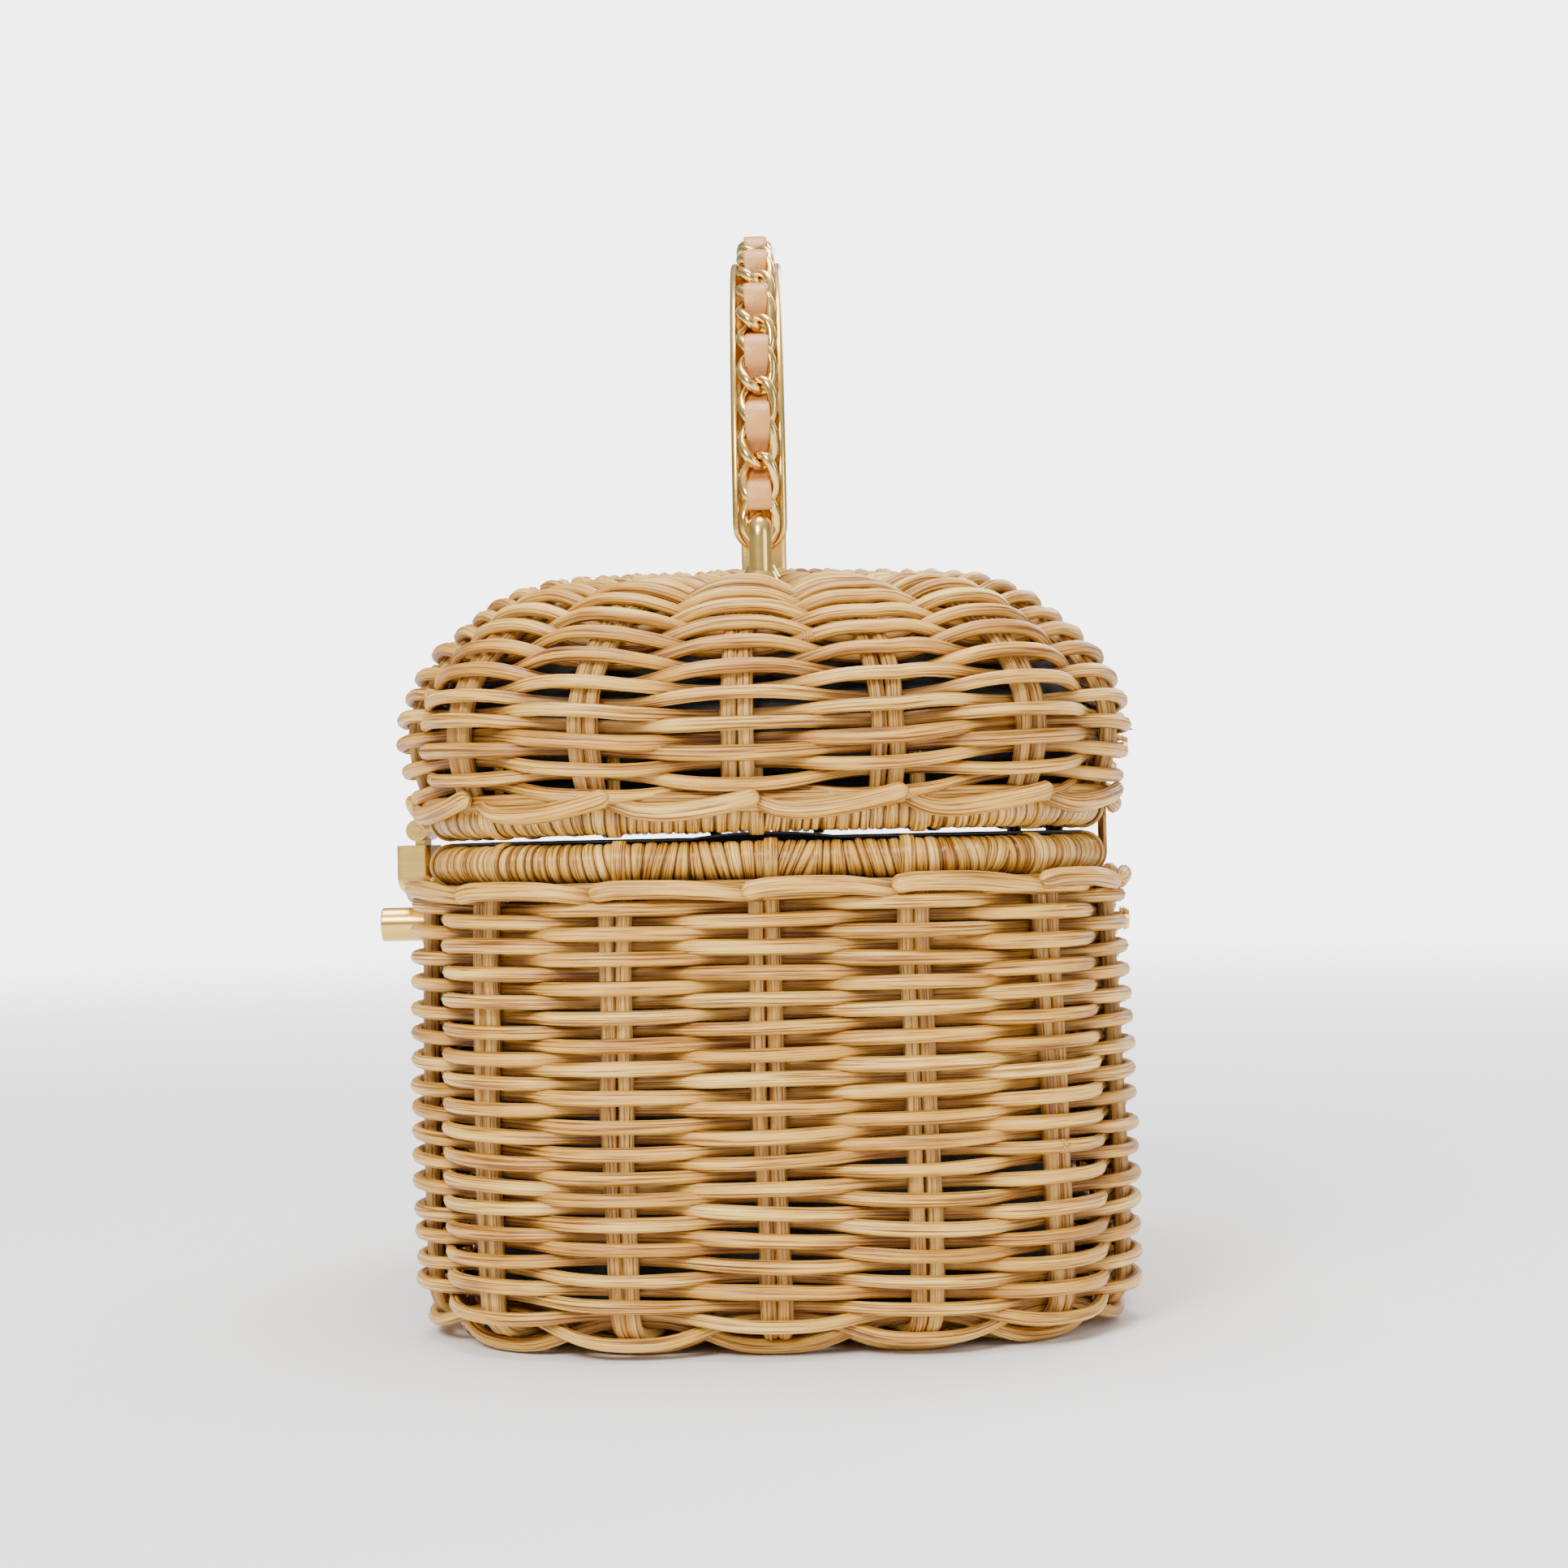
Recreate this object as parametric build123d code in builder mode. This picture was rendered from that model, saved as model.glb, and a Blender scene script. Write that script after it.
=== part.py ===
from build123d import *
import math
import os

# Box bag of woven rattan: a deep basket, a domed lid hinged at its back edge, an arched
# handle bar with a chain and leather trim, and a hasp with a turning latch at the front.
# X runs along the bag's length, -Y is the front, +Z is up, and the bag stands on Z = 0.

# ---- basket and lid ----
basket_length = 198.0
basket_depth = 141.0
corner_radius = 46.0
weave_thickness = 8.2
basket_height = 90.0
basket_turn_radius = 10.0
lid_overhang = 0.5
lid_height = 52.0
crown_radius = 360.0
dome_radius = 33.0
border_height = 2.4
border_thickness = 3.9

# ---- cane-wrapped rims ----
rim_diameter = 7.2
rim_border_gap = 0.3
rim_gap = 1.7
rim_seat_gap = 0.2

# ---- linings ----
lining_thickness = 1.2
lining_gap = 0.3
hem_thickness = 0.7
lid_lining_depth = 24.0

# ---- hinges ----
hinge_offset = 50.0
binding_width = 10.0
binding_thickness = 1.2
strap_width = 12.0
strap_thickness = 1.2
strap_up = 15.5
strap_down = 17.0
strap_knee_rise = 4.4
strap_slope_height = 6.0
hinge_rivet_spacing = 6.4
hinge_rivet_from_end = 3.6

# ---- rivets ----
rivet_shank_radius = 1.2
rivet_head_radius = 2.4
rivet_head_height = 0.9
rivet_clearance = 0.05
weave_hole_clearance = 0.3

# ---- turning latch ----
latch_height = 78.3
plate_width = 24.0
plate_height = 15.0
plate_thickness = 1.2
plate_corner = 3.0
plate_gap = 0.1
plate_rivet_x = 8.5
knob_radius = 3.65
knob_length = 12.4
knob_shaft_radius = 2.0
knob_nut_radius = 3.6
knob_nut_thickness = 2.0
finger_reach = 10.5
finger_width = 5.6
finger_thickness = 2.6
finger_from_tip = 1.0

# ---- hasp ----
bracket_width = 24.0
bracket_height = 11.0
bracket_thickness = 1.2
bracket_rivet_x = 8.0
bracket_rivet_from_top = 3.8
hasp_pin_radius = 1.0
hasp_knuckle_radius = 2.3
hasp_knuckle_half = 6.2
hasp_side_gap = 0.3
hasp_pin_out = 4.0
hasp_pin_drop = 1.9
tongue_width = 22.0
tongue_lap = 1.1
tongue_thickness = 7.1
tongue_gap = 0.6
tongue_edge_radius = 3.5
leaf_thickness = 2.0
leaf_reach = 3.2

# ---- handle ----
handle_radius = 61.0
bar_width = 10.7
bar_thickness = 3.2
channel_width = 7.6
channel_depth = 0.8
pivot_rise = 4.5
loop_radius = 2.2
loop_spacing = 13.0
loop_bend_radius = 3.0
running_clearance = 0.05
foot_radius = 3.9
foot_top_radius = 2.7
foot_height = 2.3
washer_radius = 4.4
washer_thickness = 1.0
nut_across_flats = 7.0
nut_thickness = 3.2
leg_past_nut = 0.8

# ---- chain and leather on the handle ----
link_wire_radius = 1.0
link_pitch_count = 25
link_width = 8.7
link_play = 0.12
link_tilt = 45.0
chain_seat_gap = 0.25
chain_end_rise = 8.5633
leather_width = 4.4
leather_thickness = 1.2
leather_gap = 0.3

# ---- worked out from the sizes above ----
half_length = basket_length / 2
half_depth = basket_depth / 2
rim_radius = rim_diameter / 2
rim_inset = border_thickness + rim_border_gap + rim_radius
basket_rim_height = basket_height - border_height + rim_radius + rim_seat_gap
lid_rim_height = basket_rim_height + rim_diameter + rim_gap
lid_bottom = lid_rim_height + rim_seat_gap
crown_top = lid_bottom + lid_height
rebate_inset = border_thickness
lining_inset = rim_inset + rim_radius + lining_gap
front_face = -half_depth
lid_front = -half_depth - lid_overhang
back_rim = half_depth - rim_inset
lid_lining_bottom = crown_top - lid_lining_depth
pivot_height = crown_top + pivot_rise


def rounded_block(inset, bottom, top):
    """Upright block with the basket's rounded outline, drawn in by inset."""
    with BuildPart() as block:
        with BuildSketch(Plane.XY.offset(bottom)):
            outline_length = basket_length - 2 * inset
            outline_depth = basket_depth - 2 * inset
            RectangleRounded(outline_length, outline_depth, corner_radius - inset)
        extrude(amount=top - bottom)
    return block.part


def basket_tub(inset, bottom, top, turn_radius):
    """Rounded block whose bottom edge turns under with a radius."""
    with BuildPart() as tub:
        add(rounded_block(inset, bottom, top))
        fillet(tub.faces().sort_by(Axis.Z)[0].edges(), turn_radius)
    return tub.part


def lid_dome(inset, bottom):
    """Domed block: a crown that curves along X, rounded into upright sides."""
    with BuildPart() as dome:
        add(rounded_block(inset - lid_overhang, bottom, crown_top + 1))
        with BuildSketch(Plane.XZ):
            with Locations((0, crown_top - crown_radius)):
                Circle(crown_radius - inset)
        extrude(amount=basket_depth, both=True, mode=Mode.INTERSECT)
        fillet(dome.faces().sort_by(Axis.Z)[-1].edges(), dome_radius - inset)
    return dome.part


def crown_height(x, inset):
    """Height of the lid's crown at x, on a face that lies inset below the outside."""
    crown_centre = crown_top - crown_radius
    dome_x = half_length + lid_overhang - dome_radius
    dome_z = crown_centre + math.sqrt((crown_radius - dome_radius) ** 2 - dome_x**2)
    if abs(x) > dome_x * crown_radius / (crown_radius - dome_radius):
        return dome_z + math.sqrt((dome_radius - inset) ** 2 - (abs(x) - dome_x) ** 2)
    return crown_centre + math.sqrt((crown_radius - inset) ** 2 - x**2)


def rim_ring(height):
    """Closed round ring that follows the rounded outline at the given height."""
    ring_x = half_length - rim_inset
    ring_y = half_depth - rim_inset
    corners = [(-ring_x, -ring_y), (ring_x, -ring_y), (ring_x, ring_y), (-ring_x, ring_y)]
    with BuildPart() as ring:
        with BuildLine(Plane.XY.offset(height)) as loop:
            FilletPolyline(*corners, radius=corner_radius - rim_inset, close=True)
        with BuildSketch(loop.line ^ 0):
            Circle(rim_radius)
        sweep(path=loop.wires()[0])
    return ring.part


def binding_prism(middle, width, growth):
    """Solid that wraps both rims at the back: a slot outline across X, grown by growth."""
    with BuildPart() as prism:
        with BuildSketch(Plane.YZ.offset(middle - width / 2)):
            with Locations((back_rim, (basket_rim_height + lid_rim_height) / 2)):
                spread = lid_rim_height - basket_rim_height
                SlotCenterToCenter(spread, 2 * (rim_radius + growth), rotation=90)
        extrude(amount=width)
    return prism.part


def rivets_along_y(places, head_face, tail_face):
    """Rivets along Y, each with a domed head past head_face and a flat tail at tail_face."""
    outward = math.copysign(1, head_face - tail_face)
    with BuildPart() as rivets:
        for x, z in places:
            with BuildSketch(Plane(origin=(x, tail_face, z), z_dir=(0, outward, 0))):
                Circle(rivet_shank_radius)
            extrude(amount=abs(head_face - tail_face))
            with BuildSketch(Plane(origin=(x, head_face, z), z_dir=(0, outward, 0))):
                Circle(rivet_head_radius)
            extrude(amount=rivet_head_height, taper=25)
            with BuildSketch(Plane(origin=(x, tail_face, z), z_dir=(0, -outward, 0))):
                Circle(rivet_head_radius)
            extrude(amount=rivet_head_height)
    return rivets.part


def holes_along_y(places, radius, y_from, y_to):
    """Round cutters along Y at the given places."""
    with BuildPart() as cutters:
        with BuildSketch(Plane.XZ.offset(-y_from)):
            with Locations(*places):
                Circle(radius)
        extrude(amount=y_from - y_to)
    return cutters.part


# ---- places shared by the pieces that a rivet or shaft goes through ----
plate_rivets = [(side * plate_rivet_x, latch_height) for side in (-1, 1)]
plate_back = front_face - plate_gap
plate_front = plate_back - plate_thickness
lining_inner = half_depth - lining_inset - lining_thickness
backing_front = -lining_inner + lining_gap
backing_back = backing_front + plate_thickness

bracket_bottom = lid_bottom + 1.0
bracket_rivet_height = bracket_bottom + bracket_height - bracket_rivet_from_top
bracket_rivets = [(side * bracket_rivet_x, bracket_rivet_height) for side in (-1, 1)]
bracket_back = lid_front - plate_gap
bracket_front = bracket_back - bracket_thickness
lid_wall_inner = half_depth + lid_overhang - weave_thickness
pin_y = bracket_back - hasp_pin_out
pin_z = lid_bottom - hasp_pin_drop

strap_top = lid_rim_height + strap_up
strap_bottom = basket_rim_height - strap_down
strap_lid_knee = lid_rim_height + rim_radius + strap_knee_rise
strap_rim_knee = strap_lid_knee - strap_slope_height
strap_lid_y = lid_wall_inner - lining_gap - strap_thickness / 2
strap_basket_y = lining_inner - lining_gap - strap_thickness / 2
hinge_sides = {"left": -hinge_offset, "right": hinge_offset}
hinge_rivet_x = [
    middle + side * hinge_rivet_spacing / 2 for middle in hinge_sides.values() for side in (-1, 1)
]
lid_hinge_rivets = [(x, strap_top - hinge_rivet_from_end) for x in hinge_rivet_x]
basket_hinge_rivets = [(x, strap_bottom + hinge_rivet_from_end) for x in hinge_rivet_x]

loop_legs = [
    side * (handle_radius + end * loop_spacing / 2) for side in (-1, 1) for end in (-1, 1)
]
weave_hole = rivet_shank_radius + weave_hole_clearance
plate_hole = rivet_shank_radius + rivet_clearance
leg_hole = loop_radius + running_clearance


def foot_seat(x):
    """Flat seat cut for a loop's foot, low enough for the crown's slope across the foot."""
    return crown_height(abs(x) + foot_radius, 0) - 0.5


def washer_top(x):
    """Height of a washer's upper face, under the lid lining."""
    under_lining = weave_thickness + 2 * lining_gap + lining_thickness
    return crown_height(abs(x) + washer_radius, under_lining) - 0.6


# ---- basket ----
hinge_reliefs = [
    binding_prism(middle, binding_width + 0.6, lining_gap + binding_thickness + lining_gap)
    for middle in hinge_sides.values()
]
tub_outside = basket_tub(0, 0, basket_height, basket_turn_radius)
tub_inside = basket_tub(weave_thickness, weave_thickness, basket_height, 2.0)
base_block = rounded_block(basket_turn_radius, 0, weave_thickness)
rebate_block = rounded_block(rebate_inset, basket_height - border_height, basket_height)
plate_rivet_holes = holes_along_y(plate_rivets, weave_hole, front_face - 5, 0)
shaft_hole = holes_along_y(
    [(0, latch_height)], knob_shaft_radius + weave_hole_clearance, front_face - 5, 0
)
basket_rivet_holes = holes_along_y(basket_hinge_rivets, weave_hole, lining_inner - 2, half_depth + 5)

with BuildPart() as basket_wall:
    add(tub_outside)
    add(tub_inside, mode=Mode.SUBTRACT)
    add(base_block, mode=Mode.SUBTRACT)
    add(rebate_block, mode=Mode.SUBTRACT)
    for relief in hinge_reliefs:
        add(relief, mode=Mode.SUBTRACT)
    add(plate_rivet_holes, mode=Mode.SUBTRACT)
    add(shaft_hole, mode=Mode.SUBTRACT)
    add(basket_rivet_holes, mode=Mode.SUBTRACT)
basket_wall.part.label = "basket_wall"

with BuildPart() as basket_base:
    add(base_block)
basket_base.part.label = "basket_base"

with BuildPart() as basket_rim:
    add(rim_ring(basket_rim_height))
basket_rim.part.label = "basket_rim"

# A thin cloth tub inside the basket, turned out over the top of the rim in a flat hem.
lining_floor = weave_thickness + lining_gap
hem_bottom = basket_rim_height + rim_radius + 0.1
hem_top = hem_bottom + hem_thickness
lining_outside = basket_tub(lining_inset, lining_floor, hem_top, 2.5)
lining_inside = basket_tub(
    lining_inset + lining_thickness, lining_floor + lining_thickness, hem_top, 1.5
)
hem_block = rounded_block(rim_inset, hem_bottom, hem_top)

with BuildPart() as basket_lining:
    add(lining_outside)
    add(hem_block)
    add(lining_inside, mode=Mode.SUBTRACT)
    for relief in hinge_reliefs:
        add(relief, mode=Mode.SUBTRACT)
    add(plate_rivet_holes, mode=Mode.SUBTRACT)
    add(shaft_hole, mode=Mode.SUBTRACT)
    add(basket_rivet_holes, mode=Mode.SUBTRACT)
basket_lining.part.label = "basket_lining"

# ---- lid ----
dome_outside = lid_dome(0, lid_bottom)
dome_inside = lid_dome(weave_thickness, lid_bottom)
lid_rebate = rounded_block(rebate_inset, lid_bottom, lid_rim_height + rim_radius + rim_seat_gap)
leg_places = [(x, 0) for x in loop_legs]
bracket_rivet_holes = holes_along_y(bracket_rivets, weave_hole, lid_front - 5, 0)
lid_rivet_holes = holes_along_y(lid_hinge_rivets, weave_hole, strap_lid_y - 3, half_depth + 5)

with BuildPart() as leg_cutters:
    with BuildSketch(Plane.XY.offset(lid_bottom)):
        with Locations(*leg_places):
            Circle(loop_radius + weave_hole_clearance)
    extrude(amount=lid_height + 5)

with BuildPart() as lid_shell:
    add(dome_outside)
    add(dome_inside, mode=Mode.SUBTRACT)
    add(lid_rebate, mode=Mode.SUBTRACT)
    for relief in hinge_reliefs:
        add(relief, mode=Mode.SUBTRACT)
    add(leg_cutters.part, mode=Mode.SUBTRACT)
    for x in loop_legs:
        with BuildSketch(Plane.XY.offset(foot_seat(x))):
            with Locations((x, 0)):
                Circle(foot_radius + 0.2)
        extrude(amount=lid_height, mode=Mode.SUBTRACT)
    add(bracket_rivet_holes, mode=Mode.SUBTRACT)
    add(lid_rivet_holes, mode=Mode.SUBTRACT)
lid_shell.part.label = "lid_shell"

with BuildPart() as lid_rim:
    add(rim_ring(lid_rim_height))
lid_rim.part.label = "lid_rim"

lid_lining_inset = weave_thickness + lining_gap
with BuildPart() as lid_lining:
    add(lid_dome(lid_lining_inset, lid_bottom))
    add(lid_dome(lid_lining_inset + lining_thickness, lid_bottom), mode=Mode.SUBTRACT)
    add(leg_cutters.part, mode=Mode.SUBTRACT)
    split(bisect_by=Plane.XY.offset(lid_lining_bottom), keep=Keep.TOP)
lid_lining.part.label = "lid_lining"

# ---- hinges: cane loops round both rims, and leather straps inside ----
hinge_pieces = []
for side, middle in hinge_sides.items():
    with BuildPart() as binding:
        add(binding_prism(middle, binding_width, lining_gap + binding_thickness))
        add(binding_prism(middle, binding_width, lining_gap), mode=Mode.SUBTRACT)
    binding.part.label = "hinge_binding_" + side
    hinge_pieces.append(binding.part)

    with BuildPart() as strap:
        with BuildSketch(Plane.YZ.offset(middle - strap_width / 2)):
            with BuildLine() as strap_route:
                Polyline(
                    (strap_lid_y, strap_top),
                    (strap_lid_y, strap_lid_knee),
                    (strap_basket_y, strap_rim_knee),
                    (strap_basket_y, strap_bottom),
                )
            trace(line_width=strap_thickness)
        extrude(amount=strap_width)
        add(holes_along_y(lid_hinge_rivets, plate_hole, 0, half_depth), mode=Mode.SUBTRACT)
        add(holes_along_y(basket_hinge_rivets, plate_hole, 0, half_depth), mode=Mode.SUBTRACT)
    strap.part.label = "hinge_strap_" + side
    hinge_pieces.append(strap.part)

lid_rivet_tail = strap_lid_y - strap_thickness / 2
with BuildPart() as hinge_rivets_lid:
    add(rivets_along_y(lid_hinge_rivets, half_depth + lid_overhang + plate_gap, lid_rivet_tail))
hinge_rivets_lid.part.label = "hinge_rivets_lid"

basket_rivet_tail = strap_basket_y - strap_thickness / 2
with BuildPart() as hinge_rivets_basket:
    add(rivets_along_y(basket_hinge_rivets, half_depth + plate_gap, basket_rivet_tail))
hinge_rivets_basket.part.label = "hinge_rivets_basket"

# ---- turning latch on the basket's front ----
with BuildPart() as lock_plate:
    with BuildSketch(Plane.XZ.offset(-plate_back)):
        with Locations((0, latch_height)):
            RectangleRounded(plate_width, plate_height, plate_corner)
            Circle(knob_shaft_radius + running_clearance, mode=Mode.SUBTRACT)
        with Locations(*plate_rivets):
            Circle(plate_hole, mode=Mode.SUBTRACT)
    extrude(amount=plate_thickness)
    fillet(lock_plate.faces().sort_by(Axis.Y)[0].outer_wire().edges(), 0.4)
lock_plate.part.label = "lock_plate"

with BuildPart() as lock_backing:
    with BuildSketch(Plane.XZ.offset(-backing_back)):
        with Locations((0, latch_height)):
            RectangleRounded(plate_width, plate_height, plate_corner)
            Circle(knob_shaft_radius + running_clearance, mode=Mode.SUBTRACT)
        with Locations(*plate_rivets):
            Circle(plate_hole, mode=Mode.SUBTRACT)
    extrude(amount=plate_thickness)
lock_backing.part.label = "lock_backing"

with BuildPart() as lock_plate_rivets:
    add(rivets_along_y(plate_rivets, plate_front, backing_back))
lock_plate_rivets.part.label = "lock_plate_rivets"

knob_back = plate_front - 0.1
knob_tip = knob_back - knob_length
shaft_end = backing_back + 0.2 + knob_nut_thickness
with BuildPart() as lock_knob:
    with BuildSketch(Plane.XZ.offset(-knob_back)):
        with Locations((0, latch_height)):
            Circle(knob_radius)
    extrude(amount=knob_length)
    fillet(lock_knob.faces().sort_by(Axis.Y)[0].edges(), 0.4)
    with BuildSketch(Plane.XZ.offset(-shaft_end)):
        with Locations((0, latch_height)):
            Circle(knob_shaft_radius)
    extrude(amount=shaft_end - knob_back)
    with BuildSketch(Plane.XZ.offset(-knob_tip - finger_from_tip)):
        with Locations((-(finger_reach - finger_width / 2) / 2, latch_height)):
            SlotCenterToCenter(finger_reach - finger_width / 2, finger_width)
    extrude(amount=-finger_thickness)
lock_knob.part.label = "lock_knob"

with BuildPart() as lock_knob_nut:
    with BuildSketch(Plane.XZ.offset(-shaft_end)):
        with Locations((0, latch_height)):
            RegularPolygon(knob_nut_radius, 6)
            Circle(knob_shaft_radius + 0.02, mode=Mode.SUBTRACT)
    extrude(amount=knob_nut_thickness)
lock_knob_nut.part.label = "lock_knob_nut"

# ---- hasp on the lid's front ----
with BuildPart() as hasp_bracket:
    with BuildSketch(Plane.XZ.offset(-bracket_back)):
        with Locations((0, bracket_bottom + bracket_height / 2)):
            RectangleRounded(bracket_width, bracket_height, 2.0)
    extrude(amount=bracket_thickness)
    ear_inner = hasp_knuckle_half + hasp_side_gap
    for ear_start in (-bracket_width / 2 + 0.5, ear_inner):
        with BuildSketch(Plane.YZ.offset(ear_start)):
            with BuildLine():
                Polyline(
                    (bracket_back, bracket_bottom + 4),
                    (bracket_back, pin_z + 0.5),
                    (pin_y, pin_z - hasp_knuckle_radius + 0.4),
                    (pin_y - hasp_knuckle_radius + 0.4, pin_z),
                    (bracket_front, bracket_bottom + 4),
                    close=True,
                )
            make_face()
            with Locations((pin_y, pin_z)):
                Circle(hasp_knuckle_radius)
                Circle(hasp_pin_radius + 0.02, mode=Mode.SUBTRACT)
        extrude(amount=bracket_width / 2 - 0.5 - ear_inner)
    bracket_holes = holes_along_y(bracket_rivets, plate_hole, bracket_front - 2, lid_front)
    add(bracket_holes, mode=Mode.SUBTRACT)
hasp_bracket.part.label = "hasp_bracket"

with BuildPart() as hasp_bracket_rivets:
    add(rivets_along_y(bracket_rivets, bracket_front, -lid_wall_inner + plate_gap))
hasp_bracket_rivets.part.label = "hasp_bracket_rivets"

with BuildPart() as hasp_pin:
    with BuildSketch(Plane.YZ.offset(-bracket_width / 2)):
        with Locations((pin_y, pin_z)):
            Circle(hasp_pin_radius)
    extrude(amount=bracket_width)
hasp_pin.part.label = "hasp_pin"

tongue_top = pin_z - leaf_reach
tongue_back = plate_front - tongue_gap
tongue_height = tongue_top - latch_height - plate_height / 2 + tongue_lap
with BuildPart() as hasp_leaf:
    with BuildSketch(Plane.YZ.offset(-tongue_width / 2)):
        with Locations((tongue_back - tongue_thickness / 2, tongue_top - tongue_height / 2)):
            Rectangle(tongue_thickness, tongue_height)
    extrude(amount=tongue_width)
    tongue_front = hasp_leaf.faces().sort_by(Axis.Y)[0]
    fillet(tongue_front.edges().sort_by(Axis.Z)[0], tongue_edge_radius)
    fillet(hasp_leaf.edges().filter_by(Axis.Z), 1.2)
    with BuildSketch(Plane.YZ.offset(-hasp_knuckle_half)):
        with Locations((pin_y, pin_z)):
            Circle(hasp_knuckle_radius)
        with Locations((pin_y, pin_z - leaf_reach / 2)):
            Rectangle(leaf_thickness, leaf_reach)
        with Locations((pin_y, pin_z)):
            Circle(hasp_pin_radius + running_clearance, mode=Mode.SUBTRACT)
    extrude(amount=2 * hasp_knuckle_half)
hasp_leaf.part.label = "hasp_leaf"

# ---- handle loops with their feet, washers and nuts ----
leg_ends = {x: washer_top(x) - washer_thickness - nut_thickness - leg_past_nut for x in loop_legs}
loop_parts = []
for side, sign in (("left", -1), ("right", 1)):
    inner_leg = sign * (handle_radius - loop_spacing / 2)
    outer_leg = sign * (handle_radius + loop_spacing / 2)
    with BuildPart() as loop_rod:
        with BuildLine(Plane.XZ) as loop_route:
            FilletPolyline(
                (inner_leg, leg_ends[inner_leg]),
                (inner_leg, pivot_height),
                (outer_leg, pivot_height),
                (outer_leg, leg_ends[outer_leg]),
                radius=loop_bend_radius,
            )
        with BuildSketch(loop_route.line ^ 0):
            Circle(loop_radius)
        sweep(path=loop_route.wires()[0])
    loop_rod.part.label = "handle_loop_" + side
    loop_parts.append(loop_rod.part)

with BuildPart() as loop_feet:
    for x in loop_legs:
        with BuildSketch(Plane.XY.offset(foot_seat(x))):
            with Locations((x, 0)):
                Circle(foot_radius)
        with BuildSketch(Plane.XY.offset(foot_seat(x) + foot_height)):
            with Locations((x, 0)):
                Circle(foot_top_radius)
        loft()
    with BuildSketch(Plane.XY.offset(lid_bottom)):
        with Locations(*leg_places):
            Circle(leg_hole)
    extrude(amount=2 * lid_height, mode=Mode.SUBTRACT)
loop_feet.part.label = "loop_feet"

with BuildPart() as loop_washers:
    for x in loop_legs:
        with BuildSketch(Plane.XY.offset(washer_top(x))):
            with Locations((x, 0)):
                Circle(washer_radius)
                Circle(leg_hole, mode=Mode.SUBTRACT)
        extrude(amount=-washer_thickness)
loop_washers.part.label = "loop_washers"

with BuildPart() as loop_nuts:
    for x in loop_legs:
        with BuildSketch(Plane.XY.offset(washer_top(x) - washer_thickness)):
            with Locations((x, 0)):
                RegularPolygon(nut_across_flats / 2, 6, major_radius=False)
                Circle(leg_hole, mode=Mode.SUBTRACT)
        extrude(amount=-nut_thickness)
loop_nuts.part.label = "loop_nuts"

# ---- handle bar: half a ring with a shallow channel, and round ends on the loops ----
bar_outer = handle_radius + bar_thickness / 2
bar_inner = handle_radius - bar_thickness / 2
bar_end = bar_width / 2
with BuildPart() as handle_bar:
    with BuildSketch(Plane.XZ):
        with Locations((0, pivot_height)):
            Circle(bar_outer)
            Circle(bar_inner, mode=Mode.SUBTRACT)
        with Locations((0, pivot_height - bar_outer)):
            Rectangle(4 * bar_outer, 2 * bar_outer, mode=Mode.SUBTRACT)
        with Locations((-handle_radius, pivot_height), (handle_radius, pivot_height)):
            Rectangle(bar_thickness, bar_end, align=(Align.CENTER, Align.MAX))
    extrude(amount=bar_width / 2, both=True)
    with BuildSketch(Plane.YZ):
        with Locations((0, pivot_height)):
            Circle(bar_end)
            Rectangle(bar_width, 2 * bar_outer, align=(Align.CENTER, Align.MIN))
    extrude(amount=2 * bar_outer, both=True, mode=Mode.INTERSECT)
    with BuildSketch(Plane.XZ):
        with Locations((0, pivot_height)):
            Circle(bar_outer + 1)
            Circle(bar_outer - channel_depth, mode=Mode.SUBTRACT)
        with Locations((0, pivot_height - bar_outer)):
            Rectangle(4 * bar_outer, 2 * bar_outer, mode=Mode.SUBTRACT)
    extrude(amount=channel_width / 2, both=True, mode=Mode.SUBTRACT)
    with BuildSketch(Plane.YZ):
        with Locations((0, pivot_height)):
            Circle(leg_hole)
    extrude(amount=2 * bar_outer, both=True, mode=Mode.SUBTRACT)
handle_bar.part.label = "handle_bar"

# ---- chain: oval links, turned a half right angle to each side in turn ----
link_half_wide = link_width / 2
tilt_sine = math.sin(math.radians(link_tilt))
chain_reach = (link_half_wide - link_wire_radius) * tilt_sine + link_wire_radius
chain_radius = bar_outer - channel_depth + chain_seat_gap + chain_reach
chain_first_angle = chain_end_rise / chain_radius
link_step = (math.pi - 2 * chain_first_angle) / (link_pitch_count - 1)
link_pitch = 2 * chain_radius * math.sin(link_step / 2)
link_run = link_pitch + 2 * link_wire_radius + link_play
link_bend = link_half_wide - link_wire_radius
with BuildPart() as handle_chain:
    for number in range(link_pitch_count):
        angle = chain_first_angle + number * link_step
        outward = (math.cos(angle), 0, math.sin(angle))
        along = (-math.sin(angle), 0, math.cos(angle))
        middle = (chain_radius * outward[0], 0, pivot_height + chain_radius * outward[2])
        lean = tilt_sine if number % 2 else -tilt_sine
        upright = math.cos(math.radians(link_tilt))
        facing = (outward[0] * upright, lean, outward[2] * upright)
        link_plane = Plane(origin=middle, x_dir=along, z_dir=facing)
        with BuildLine(link_plane) as link_route:
            straight = link_run - 2 * link_bend
            side_a = Line((-straight / 2, -link_bend), (straight / 2, -link_bend))
            bend_a = JernArc(side_a @ 1, side_a % 1, link_bend, 180)
            side_b = Line(bend_a @ 1, (-straight / 2, link_bend))
            JernArc(side_b @ 1, side_b % 1, link_bend, 180)
        with BuildSketch(link_route.line ^ 0):
            Circle(link_wire_radius)
        sweep(path=link_route.wires()[0])
handle_chain.part.label = "handle_chain"

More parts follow.
